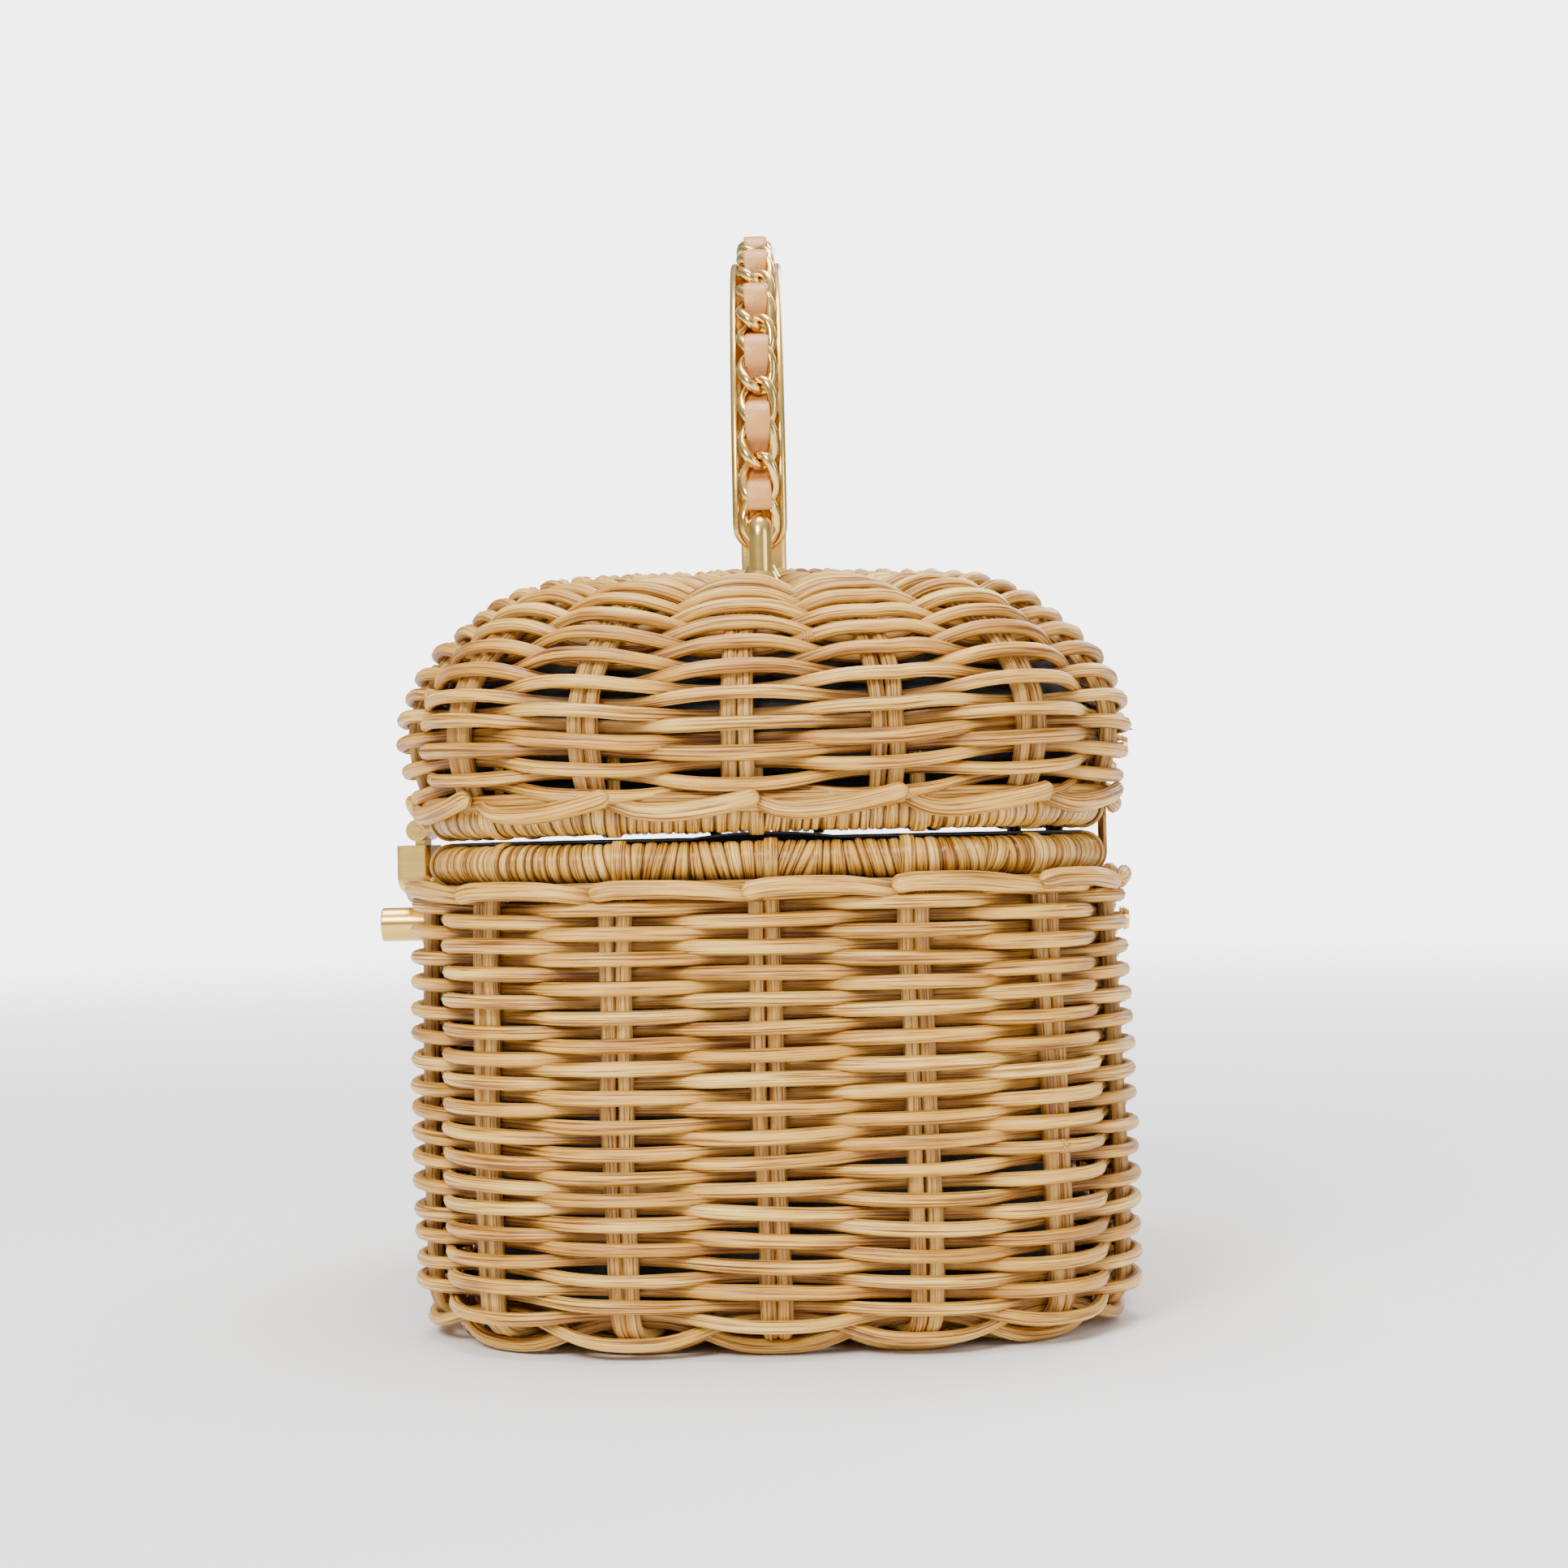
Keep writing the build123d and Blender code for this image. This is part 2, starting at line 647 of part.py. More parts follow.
# ---- leather strip over the chain ----
leather_inner = chain_radius + chain_reach + leather_gap
leather_end = pivot_height + leather_inner * math.sin(chain_first_angle)
with BuildPart() as handle_leather:
    with BuildSketch(Plane.XZ):
        with Locations((0, pivot_height)):
            Circle(leather_inner + leather_thickness)
            Circle(leather_inner, mode=Mode.SUBTRACT)
        with Locations((0, leather_end - leather_inner)):
            Rectangle(4 * leather_inner, 2 * leather_inner, mode=Mode.SUBTRACT)
    extrude(amount=leather_width / 2, both=True)
handle_leather.part.label = "handle_leather"

os.makedirs("parts", exist_ok=True)
finished = [
    basket_wall.part,
    basket_base.part,
    basket_rim.part,
    basket_lining.part,
    lid_shell.part,
    lid_rim.part,
    lid_lining.part,
    hinge_rivets_lid.part,
    hinge_rivets_basket.part,
    lock_plate.part,
    lock_plate_rivets.part,
    lock_backing.part,
    lock_knob.part,
    lock_knob_nut.part,
    hasp_bracket.part,
    hasp_bracket_rivets.part,
    hasp_pin.part,
    hasp_leaf.part,
    loop_feet.part,
    loop_washers.part,
    loop_nuts.part,
    handle_bar.part,
    handle_chain.part,
    handle_leather.part,
    *hinge_pieces,
    *loop_parts,
]
for piece in finished:
    export_step(piece, "parts/" + piece.label + ".step")
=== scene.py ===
"""Finishes and woven surfaces of a rattan box bag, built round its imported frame.

Lengths in this script are millimetres, and each mesh is turned into metres when it is made.
"""

import math

import bpy
import numpy as np
from mathutils import Euler, Matrix, Vector


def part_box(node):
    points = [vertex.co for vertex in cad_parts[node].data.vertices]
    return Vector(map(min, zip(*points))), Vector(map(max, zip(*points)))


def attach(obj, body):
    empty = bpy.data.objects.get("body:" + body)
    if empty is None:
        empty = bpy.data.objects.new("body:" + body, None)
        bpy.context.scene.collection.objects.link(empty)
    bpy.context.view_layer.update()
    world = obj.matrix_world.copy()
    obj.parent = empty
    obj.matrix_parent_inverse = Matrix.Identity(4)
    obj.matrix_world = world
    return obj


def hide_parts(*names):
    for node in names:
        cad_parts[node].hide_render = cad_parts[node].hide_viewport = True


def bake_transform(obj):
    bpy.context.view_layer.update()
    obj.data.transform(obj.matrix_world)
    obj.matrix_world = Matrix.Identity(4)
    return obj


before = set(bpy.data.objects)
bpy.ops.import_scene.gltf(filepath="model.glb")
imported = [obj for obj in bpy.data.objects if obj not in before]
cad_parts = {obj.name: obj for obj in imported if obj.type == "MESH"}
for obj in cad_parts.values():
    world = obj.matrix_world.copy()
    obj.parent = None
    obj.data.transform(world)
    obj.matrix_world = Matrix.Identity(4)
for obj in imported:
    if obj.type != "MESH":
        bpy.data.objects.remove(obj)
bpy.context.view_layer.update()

MM = 0.001

# weave: stake pairs round the bag, reed radii, how far a weaver swings, row height, rows up
# each part, where each weave starts (millimetres down the basket, share of the way up the
# lid) and how far round its stakes are turned, as a share of the way round
STAKES = 21
WEAVER_RADIUS = 1.28
STAKE_RADIUS = 1.5
SWING = 2.75
ROW_PITCH = 2.45
BASKET_ROWS = 35.9
LID_ROWS = 38.2
BASKET_START = 0.3
LID_START = 0.012
LID_TURN = -0.0085
BASKET_TURN = -0.0012

# form: outer corner, half the wall's thickness, the foot's turn, half the centre line and
# the gap left round it, the dome, the crown's arc and the drop of the basket's top edge
CORNER_RADIUS = 46.0
WEAVE_HALF = 4.1
TURN_RADIUS = 4.6
CENTRE_LINE = 28.0
SLATH_GAP = 7.0
DOME_RADIUS = 33.0
CROWN_RADIUS = 360.0
CROWN_FALL = 2.6
CROWN_FLAT_X = 62.0
BORDER_DROP = 4.2

# trim: thickness of each cloth, half the thickness of strap and bar, and the chain's height
# over the bar, half width, count of links and wire radius
BASKET_CLOTH = 0.45
LID_CLOTH = 0.3
STRAP_HALF = 0.6
BAR_HALF = 1.6
CHAIN_STAND = 2.6
CHAIN_HALF_WIDTH = 4.05
LINKS = 25
WIRE = 1.0

# studio: brightness behind the bag, and the camera's place in metres, lens in millimetres,
# rise and roll in degrees
BACKDROP = 5.0
CAMERA_PLACE = (0.62, 0.0036, 0.0963)
CAMERA_LENS = 65.4
CAMERA_RISE = 0.99
CAMERA_ROLL = -1.25

# ---- places and sizes read from the frame ----


def node_box(name):
    """Lowest and highest corner of a CAD node, in millimetres."""
    low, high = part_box(name)
    return np.array(low) / MM, np.array(high) / MM


wall_low, wall_high = node_box("basket_wall")
lid_low, lid_high = node_box("lid_shell")
basket_rim_low, basket_rim_high = node_box("basket_rim")
lid_rim_low, lid_rim_high = node_box("lid_rim")
bar_low, bar_high = node_box("handle_bar")

half_length = (wall_high[0] - wall_low[0]) / 2
half_depth = (wall_high[1] - wall_low[1]) / 2
lid_grow = (lid_high[0] - lid_low[0]) / 2 - half_length
rim_radius = (basket_rim_high[2] - basket_rim_low[2]) / 2
rim_inset = half_depth - basket_rim_high[1] + rim_radius
basket_rim_z = (basket_rim_high[2] + basket_rim_low[2]) / 2
lid_rim_z = (lid_rim_high[2] + lid_rim_low[2]) / 2
gap_z = (basket_rim_high[2] + lid_rim_low[2]) / 2
bar_width = bar_high[1] - bar_low[1]
bar_outer = (bar_high[0] - bar_low[0]) / 2
pivot_z = bar_high[2] - bar_outer

# ---- meshes from arrays ----


def make_piece(name, parts, material):
    """Joins parts into one smooth mesh object. A part has points, quads that face outward,
    and optional caps, shade and reed rows: millimetres along, millimetres round, and tone."""
    points, quads, rings, reeds, shades = [], [], [], [], []
    offset = 0
    for part in parts:
        points.append(part["points"])
        quads.append(part["quads"] + offset)
        rings.extend([ring + offset for ring in part.get("caps", [])])
        reeds.append(part.get("reed", np.zeros_like(part["points"])))
        shades.append(part.get("shade", np.ones(len(part["points"]))))
        offset += len(part["points"])
    points = np.concatenate(points) * MM
    quads = np.concatenate(quads)
    loops = np.concatenate([quads.ravel()] + rings).astype(np.int32)
    sizes = np.concatenate([np.full(len(quads), 4), [len(ring) for ring in rings]])
    starts = np.concatenate([[0], np.cumsum(sizes)[:-1]])
    mesh = bpy.data.meshes.new(name)
    mesh.vertices.add(len(points))
    mesh.vertices.foreach_set("co", points.astype(np.float32).ravel())
    mesh.loops.add(len(loops))
    mesh.loops.foreach_set("vertex_index", loops)
    mesh.polygons.add(len(sizes))
    mesh.polygons.foreach_set("loop_start", starts.astype(np.int32))
    mesh.update(calc_edges=True)
    mesh.validate()
    mesh.polygons.foreach_set("use_smooth", np.ones(len(mesh.polygons), bool))
    reed = mesh.attributes.new("reed", "FLOAT_VECTOR", "POINT")
    reed.data.foreach_set("vector", np.concatenate(reeds).astype(np.float32).ravel())
    # painted shade: a darkening for each point, which the reed and leather materials multiply into
    # their colour
    shade = mesh.attributes.new("shade", "FLOAT", "POINT")
    shade.data.foreach_set("value", np.concatenate(shades).astype(np.float32))
    piece = bpy.data.objects.new(name, mesh)
    bpy.context.scene.collection.objects.link(piece)
    mesh.materials.append(material)
    return piece


def unit(vectors):
    """Vectors scaled to length one."""
    return vectors / np.maximum(np.linalg.norm(vectors, axis=-1, keepdims=True), 1e-9)


def grid_quads(strands, count, sides, closed):
    """Corner numbers of the quads of a grid: strands x count rings x sides points."""
    rings = count if closed else count - 1
    s, i, j = np.meshgrid(np.arange(strands), np.arange(rings), np.arange(sides), indexing="ij")
    base = s * count * sides
    here = base + i * sides
    there = base + ((i + 1) % count) * sides
    after = (j + 1) % sides
    return np.stack([here + j, here + after, there + after, there + j], -1).reshape(-1, 4)


def tubes(
    centres, normals, radius_out, radius_side, sides=8, tone=0.5, closed=False, square=1.0, shade=1.0
):
    """Tubes along many centre lines at once. Each ring is centre + out * r1 * cos(a)
    + side * r2 * sin(a), where side is tangent x out. square under 1 flattens the ring."""
    centres = centres if centres.ndim == 3 else centres[None]
    normals = normals if normals.ndim == 3 else normals[None]
    strands, count, _ = centres.shape
    if closed:
        tangents = np.roll(centres, -1, 1) - np.roll(centres, 1, 1)
    else:
        tangents = np.gradient(centres, axis=1)
    tangents = unit(tangents)
    side = unit(np.cross(tangents, normals))
    out = np.cross(side, tangents)
    angle = math.pi + np.arange(sides) * 2 * math.pi / sides
    cosine, sine = np.cos(angle), np.sin(angle)
    cosine = np.sign(cosine) * np.abs(cosine) ** square
    sine = np.sign(sine) * np.abs(sine) ** square
    radius_out = np.broadcast_to(radius_out, (strands, count))[..., None, None]
    radius_side = np.broadcast_to(radius_side, (strands, count))[..., None, None]
    ring = centres[:, :, None] + out[:, :, None] * radius_out * cosine[:, None]
    ring = ring + side[:, :, None] * radius_side * sine[:, None]
    step = np.linalg.norm(np.diff(centres, axis=1), axis=-1)
    run = np.concatenate([np.zeros((strands, 1)), np.cumsum(step, 1)], 1)
    reed = np.empty((strands, count, sides, 3))
    reed[..., 0] = run[..., None] + np.arange(strands)[:, None, None] * 137.0
    reed[..., 1] = np.arange(sides) / sides * 2 * math.pi * float(np.mean(radius_side))
    reed[..., 2] = np.broadcast_to(tone, (strands, count))[..., None]
    caps = []
    if not closed:
        firsts = np.arange(strands) * count * sides
        caps += [first + np.arange(sides)[::-1] for first in firsts]
        caps += [first + (count - 1) * sides + np.arange(sides) for first in firsts]
    return {
        "points": ring.reshape(-1, 3),
        "quads": grid_quads(strands, count, sides, closed),
        "caps": caps,
        "reed": reed.reshape(-1, 3),
        "shade": np.repeat(np.broadcast_to(shade, (strands, count)).ravel(), sides),
    }


def wander(rng, knots, places):
    """Smooth random curve: cubic blend of random knots, read at the given places."""
    values = rng.normal(0, 1, knots + 2)
    index = np.clip(np.floor(places).astype(int), 0, knots)
    share = places - index
    share = share * share * (3 - 2 * share)
    return values[index] * (1 - share) + values[index + 1] * share


# ---- the bag's outline ----

middle_x = half_length - WEAVE_HALF
middle_y = half_depth - WEAVE_HALF
middle_corner = CORNER_RADIUS - WEAVE_HALF


def outline_table():
    """Rounded rectangle at the weave's middle, from the +X end round through +Y: distance
    along it, point and outward normal, with each corner a quarter circle."""
    turn = np.linspace(0, math.pi / 2, 49)
    centre_x, centre_y = middle_x - middle_corner, middle_y - middle_corner
    rows = [(middle_x, 0.0, 1.0, 0.0)]
    corners = ((1, 1, 0), (-1, 1, 1), (-1, -1, 2), (1, -1, 3))
    for sign_x, sign_y, quarter in corners:
        angle = turn + quarter * math.pi / 2
        cosine, sine = np.cos(angle), np.sin(angle)
        x = sign_x * centre_x + middle_corner * cosine
        y = sign_y * centre_y + middle_corner * sine
        rows.extend(zip(x, y, cosine, sine))
    rows.append((middle_x, 0.0, 1.0, 0.0))
    table = np.array(rows)
    step = np.hypot(*np.diff(table[:, :2], axis=0).T)
    return np.concatenate([[0], np.cumsum(step)]), table


outline_run, outline_rows = outline_table()
PERIMETER = outline_run[-1]


def outline(u, grow=0.0):
    """Point on the outline and its outward normal, at share u of the way round."""
    run = np.mod(u, 1.0) * PERIMETER
    x, y, nx, ny = (np.interp(run, outline_run, outline_rows[:, i]) for i in range(4))
    return x + nx * grow, y + ny * grow, nx, ny


def draw_in(u, grow, inset):
    """Plan point found by moving from the outline towards the centre line by inset, as
    C + s * (P - C), where s is 1 less inset over the depth of P from C."""
    x, y, nx, ny = outline(u, grow)
    cx = np.clip(x, -CENTRE_LINE, CENTRE_LINE)
    depth = (x - cx) * nx + y * ny
    s = 1 - inset / depth
    return cx + s * (x - cx), s * y


# ---- woven surfaces ----

basket_top = wall_high[2] - BORDER_DROP
base_z = WEAVE_HALF
turn_z = base_z + TURN_RADIUS
wall_run = basket_top - turn_z
turn_run = TURN_RADIUS * math.pi / 2


def basket_surface(u, drop):
    """Middle of the basket's weave. drop runs down the wall from its top edge, round the
    turn and in over the base. The wall bulges a little low down and leans to the back."""
    arc = np.clip((drop - wall_run) / TURN_RADIUS, 0, math.pi / 2)
    inside = np.maximum(drop - wall_run - turn_run, 0)
    z = np.where(drop < wall_run, basket_top - drop, turn_z - TURN_RADIUS * np.sin(arc))
    low = (z - 26) / 62
    bulge = 1.7 - 1.5 * np.clip(low, 0, 1) ** 1.5 - 3.0 * np.clip(-low, 0, 1) ** 2
    inset = TURN_RADIUS * (1 - np.cos(arc)) + inside - bulge
    x, y = draw_in(u, 0, inset)
    y = y + 0.9 * np.clip(1 - z / basket_top, 0, 1)
    return np.stack([x, y, z], -1)


lid_bottom = lid_low[2] + 1.2
crown_z = lid_high[2] - WEAVE_HALF
dome_middle = DOME_RADIUS - WEAVE_HALF
crown_middle = CROWN_RADIUS - WEAVE_HALF


def crown(x):
    """Height of the crown's arc, held level past CROWN_FLAT_X."""
    reach = np.clip(np.abs(x), 0, CROWN_FLAT_X)
    return crown_z - crown_middle + np.sqrt(crown_middle**2 - reach**2)


def lid_length_up(u):
    """Length of the lid's side, its dome and its top, at share u of the way round."""
    x, y, nx, ny = outline(u, lid_grow)
    cx = np.clip(x, -CENTRE_LINE, CENTRE_LINE)
    depth = (x - cx) * nx + y * ny
    side = crown(x) - dome_middle - lid_bottom
    return side, depth


def lid_surface(u, share):
    """Middle of the lid's weave: share 0 is its lower edge and 1 the centre line. Each
    meridian is an upright side, a quarter circle and the crown, at even distances."""
    side, depth = lid_length_up(u)
    quarter = dome_middle * math.pi / 2
    run = share * (side + quarter + depth - dome_middle)
    arc = np.clip((run - side) / dome_middle, 0, math.pi / 2)
    inset = dome_middle * (1 - np.cos(arc)) + np.maximum(run - side - quarter, 0)
    low = np.clip(1 - run / np.maximum(side, 1), 0, 1)
    inset = inset + 1.9 * low**2 - 2.3 * np.sin(np.clip(run / (side + 24), 0, 1) * math.pi)
    x, y = draw_in(u, lid_grow, inset)
    rise = np.where(run < side, lid_bottom + run, crown(x) - dome_middle * (1 - np.sin(arc)))
    high = np.clip((rise - 118) / 30, 0, 1)
    return np.stack([x, y, rise - CROWN_FALL * high * (np.abs(y) / half_depth) ** 2], -1)


def with_normal(surface, u, v, flip):
    """Points of a surface and its outward normals, from differences along u and v."""
    du, dv = 2e-4, 2e-2 if flip else 2e-4
    along = surface(u + du, v) - surface(u - du, v)
    across = surface(u, v + dv) - surface(u, v - dv)
    normal = unit(np.cross(across, along) if flip else np.cross(along, across))
    return surface(u, v), normal


def splice_tone(rng, turns):
    """Tone of a weaver: one random value for each length of reed between two splices."""
    splices = np.cumsum(rng.uniform(0.7, 2.3, 90))
    tones = rng.uniform(0, 1, 91)
    return tones[np.searchsorted(splices, turns)]


def woven_rows(surface, start, pitch, turns, seed, flip, phase, steps=12, sides=8, swing=SWING):
    """One weaver that spirals over a surface. It swings out over one stake pair and in
    behind the next, as a cosine flattened at its crests, with an odd number of pairs, so
    that each row passes the other side of a pair than the row before."""
    rng = np.random.default_rng(seed)
    count = int(turns * STAKES * steps) + 1
    turn = np.arange(count) / (STAKES * steps)
    wave = np.cos(math.pi * STAKES * turn)
    wave = wave * (1.32 - 0.32 * wave**2)
    knots = int(turns * STAKES) + 2
    crossing = turn * STAKES
    lift = wander(rng, knots, crossing) * 0.085
    out = wander(rng, knots, crossing) * 0.13
    thick = 1.02 + 0.06 * wander(rng, knots // 8, crossing / 8)
    thick = thick + 0.035 * wander(rng, knots * 3, crossing * 3)
    sway = 0.0
    for waves in (2, 3, 5):
        slow = wander(rng, int(turns / 5) + 2, turn / 5)
        sway = sway + 0.16 * slow * np.sin(2 * math.pi * (waves * turn + rng.uniform()))
    places = start + pitch * (turn + lift + sway)
    points, normals = with_normal(surface, turn + phase, places, flip)
    points = points + normals * (wave * swing + out)[:, None]
    tone = splice_tone(rng, turn)
    radius_out = WEAVER_RADIUS * thick * 0.96
    radius_side = WEAVER_RADIUS * thick * (1.02 + 0.05 * wave)
    # painted shade: the weaver's colour darkens where it dips behind a stake pair
    shade = 0.76 + 0.24 * np.clip(1.6 * wave, -1, 1)
    return tubes(points, normals, radius_out, radius_side, sides, tone, shade=shade)


def stake_pairs(surface, v_from, v_to, seed, flip, phase, count=60, close_from=0.5):
    """Two reeds side by side at each stake, set either side of the meridian. They draw
    together towards v_to, where there is no room for both."""
    rng = np.random.default_rng(seed)
    v = np.linspace(v_from, v_to, count)
    number = np.repeat(np.arange(STAKES), 2)
    hand = np.tile([-1.0, 1.0], STAKES)
    u = (number / STAKES)[:, None] + np.full((1, count), phase)
    v_all = np.zeros((2 * STAKES, 1)) + v[None]
    points, normals = with_normal(surface, u, v_all, flip)
    tangents = unit(np.gradient(points, axis=1))
    side = np.cross(normals, tangents)
    share = np.linspace(0, 1, count)
    apart = np.clip((1 - share) / (1 - close_from), 0.05, 1) * STAKE_RADIUS
    sway = np.stack([wander(rng, 12, share * 11) for _ in hand]) * 0.18
    points = points + side * (hand[:, None] * apart + sway)[..., None]
    tone = rng.uniform(0.1, 0.7, 2 * STAKES)[:, None]
    # painted shade: the stakes, which lie behind the weavers, are darkened all over
    return tubes(points, normals, STAKE_RADIUS, STAKE_RADIUS * 1.04, 8, tone, shade=0.8)


def border_arcs(surface, level, seed, flip, phase, hand, per_mm):
    """Border of turned-down stakes: each comes out beside its own stake with a blunt head,
    runs along the edge over the next stake and tucks in behind the head there. The
    basket's arcs bow upward and the lid's bow downward."""
    rng = np.random.default_rng(seed)
    count = 30
    q = np.linspace(0, 1, count) ** 1.25
    arcs = []
    for number in range(STAKES):
        reach = rng.uniform(1.16, 1.27)
        u = phase + (number + hand * (q * reach - 0.14)) / STAKES
        if hand > 0:
            lift = 0.5 + 0.6 * np.sin(1.4 * math.pi * q) - 1.1 * q**2
            lift = lift - 0.5 * np.clip(1 - q / 0.12, 0, 1)
        else:
            lift = 2.3 * (2 * q - 1) ** 2 - 0.7 - 0.9 * q
        lift = lift + rng.normal(0, 0.14) + 0.25 * wander(rng, 4, q * 3)
        points, normals = with_normal(surface, u, level + lift * per_mm, flip)
        out = 3.2 + 1.0 * np.sin(q * math.pi) - 5.2 * np.clip((q - 0.7) / 0.3, 0, 1) ** 1.3
        out = out + 0.5 * np.clip(1 - q / 0.2, 0, 1)
        points = points + normals * out[:, None]
        blunt = np.sqrt(1 - np.clip(1 - q / 0.045, 0, 0.96) ** 2)
        size = blunt * (1 - 0.35 * np.clip((q - 0.55) / 0.45, 0, 1))
        # painted shade: each arc darkens towards its tail, where it tucks in behind the next head
        shade = 1 - 0.65 * np.clip((q - 0.68) / 0.2, 0, 1)
        tone = rng.uniform(0.3, 1)
        arcs.append(tubes(points, normals, 1.45 * size, 1.85 * size, 10, tone, shade=shade))
    return arcs


def packing_reed(height, seed):
    """Closed reed that fills the seam between a rim and its border: a circle carried
    round the rim's outer side."""
    rng = np.random.default_rng(seed)
    count = 300
    u = np.arange(count) / count
    x, y, nx, ny = outline(u, half_depth - rim_inset - middle_y + rim_radius + 0.9)
    level = height + 0.15 * np.sin(2 * math.pi * 5 * u + rng.uniform(0, 6))
    points = np.stack([x, y, level], -1)
    normals = np.stack([nx, ny, np.zeros(count)], -1)
    # painted shade: the packing reed is darkened all over, as it sits in the seam under the rim
    return tubes(points, normals, 1.5, 1.5, 8, rng.uniform(0.2, 0.8), True, shade=0.7)


def wrapped_rim(height, seed):
    """Ring wrapped with split cane. Its section is a circle of the rim's radius, cut by a
    groove at each edge between two wraps, and the wraps slant by a smooth random amount."""
    rng = np.random.default_rng(seed)
    widths = rng.uniform(1.5, 2.75, 330)
    widths = widths[: np.searchsorted(np.cumsum(widths), PERIMETER * 0.97)]
    widths = widths * PERIMETER * 0.97 / widths.sum()
    edges = np.concatenate([[0], np.cumsum(widths)]) / widths.sum()
    steps = np.array([0.0, 0.1, 0.32, 0.68, 0.9])
    u = (edges[:-1, None] + np.diff(edges)[:, None] * steps).ravel()
    profile = np.tile([0.0, 0.72, 1.0, 0.98, 0.68], len(widths))
    proud = np.repeat(rng.normal(0, 0.09, len(widths)), len(steps))
    tone = np.repeat(rng.uniform(0, 1, len(widths)), len(steps))
    count, sides = len(u), 20
    angle = math.pi + np.arange(sides) * 2 * math.pi / sides
    lean = wander(rng, 60, u * 59) * 0.55 + 1.6 * (wander(rng, 40, u * 39) > 1.35)
    shift = lean[:, None] * np.sin(angle)[None] / PERIMETER
    grow = half_depth - rim_inset - middle_y
    x, y, nx, ny = outline(u[:, None] + shift, grow)
    radius = rim_radius - 0.5 + 0.56 * profile[:, None] + proud[:, None]
    points = np.empty((count, sides, 3))
    points[..., 0] = x + nx * radius * np.cos(angle)
    points[..., 1] = y + ny * radius * np.cos(angle)
    points[..., 2] = height + radius * np.sin(angle)
    reed = np.empty((count, sides, 3))
    reed[..., 0] = angle * rim_radius + np.floor(np.arange(count) / len(steps))[:, None] * 31.0
    reed[..., 1] = u[:, None] * PERIMETER
    reed[..., 2] = tone[:, None]
    return {
        "points": points.reshape(-1, 3),
        "quads": grid_quads(1, count, sides, True)[:, ::-1],
        "reed": reed.reshape(-1, 3),
        # painted shade: the cane darkens in the groove between two wraps
        "shade": np.repeat(0.2 + 0.8 * profile, sides),
    }


def rim_ties(height, seed, downward):
    """Flat cane tie over the rim at each stake: half round the rim and then straight on
    into the weave."""
    rng = np.random.default_rng(seed)
    turn = np.radians(np.linspace(125, -75, 22))
    straight = np.linspace(1.0, 7.0, 5)
    grow = half_depth - rim_inset - middle_y
    parts = []
    for number in range(STAKES):
        u = (number + rng.normal(0, 0.03)) / STAKES
        x, y, nx, ny = outline(np.array(u), grow)
        radius = rim_radius + 0.34
        out = np.concatenate([radius * np.cos(turn), np.full(5, radius * math.cos(turn[-1]))])
        up = np.concatenate([radius * np.sin(turn), radius * math.sin(turn[-1]) - straight])
        up = up * downward
        points = np.stack([x + nx * out, y + ny * out, height + up], -1)
        normals = np.stack([nx * np.cos(turn), ny * np.cos(turn), np.sin(turn) * downward], -1)
        last = np.repeat(np.array([[float(nx), float(ny), 0.0]]), 5, 0)
        normals = np.concatenate([normals, last])
        width = rng.uniform(1.25, 1.6)
        parts.append(tubes(points, normals, 0.32, width, 8, rng.uniform(0.4, 1), square=0.6))
    return parts


def slath(z_of, seed, rows=5):
    """Oval centre of a woven top or base: straight reeds side by side along the centre
    line, bound across by short wraps."""
    rng = np.random.default_rng(seed)
    parts = []
    x = np.linspace(-1, 1, 30)
    for row in range(-rows // 2 + 1, rows // 2 + 1):
        reach = CENTRE_LINE + SLATH_GAP + 2 - abs(row) * 1.8
        y = np.full(30, row * 2.9) + rng.normal(0, 0.08)
        points = np.stack([x * reach, y, z_of(x * reach) + rng.normal(0, 0.1)], -1)
        normals = np.zeros_like(points)
        normals[:, 2] = 1
        parts.append(tubes(points, normals, 1.5, 1.5, 8, rng.uniform(0.2, 0.9)))
    return parts


# ---- materials ----


def new_material(name):
    """Empty node material and its principled shader."""
    material = bpy.data.materials.new(name)
    material.use_nodes = True
    nodes = material.node_tree.nodes
    return material, nodes, material.node_tree.links, nodes["Principled BSDF"]


def ramp(nodes, stops):
    """Colour ramp with the given (place, colour) stops."""
    node = nodes.new("ShaderNodeValToRGB")
    elements = node.color_ramp.elements
    while len(elements) < len(stops):
        elements.new(0.5)
    for element, (place, colour) in zip(elements, stops):
        element.position = place
        element.color = (*colour, 1)
    return node


def mix_colour(nodes, links, factor, first, second, blend="MIX"):
    """Mix of two colours, each a socket or a value."""
    node = nodes.new("ShaderNodeMix")
    node.data_type = "RGBA"
    node.blend_type = blend
    for socket, value in ((0, factor), (6, first), (7, second)):
        if isinstance(value, bpy.types.NodeSocket):
            links.new(value, node.inputs[socket])
        else:
            node.inputs[socket].default_value = value if socket == 0 else (*value, 1)
    return node.outputs[2]


def math_node(nodes, links, operation, first, second=0.0, third=0.0):
    """Maths node, with each input a socket or a number."""
    node = nodes.new("ShaderNodeMath")
    node.operation = operation
    for index, value in enumerate((first, second, third)):
        if isinstance(value, bpy.types.NodeSocket):
            links.new(value, node.inputs[index])
        else:
            node.inputs[index].default_value = value
    return node.outputs[0]


def noise(nodes, links, vector, scale, detail=3.0, roughness=0.55):
    """Noise value on a vector."""
    node = nodes.new("ShaderNodeTexNoise")
    node.inputs["Scale"].default_value = scale
    node.inputs["Detail"].default_value = detail
    node.inputs["Roughness"].default_value = roughness
    links.new(vector, node.inputs["Vector"])
    return node.outputs["Fac"]


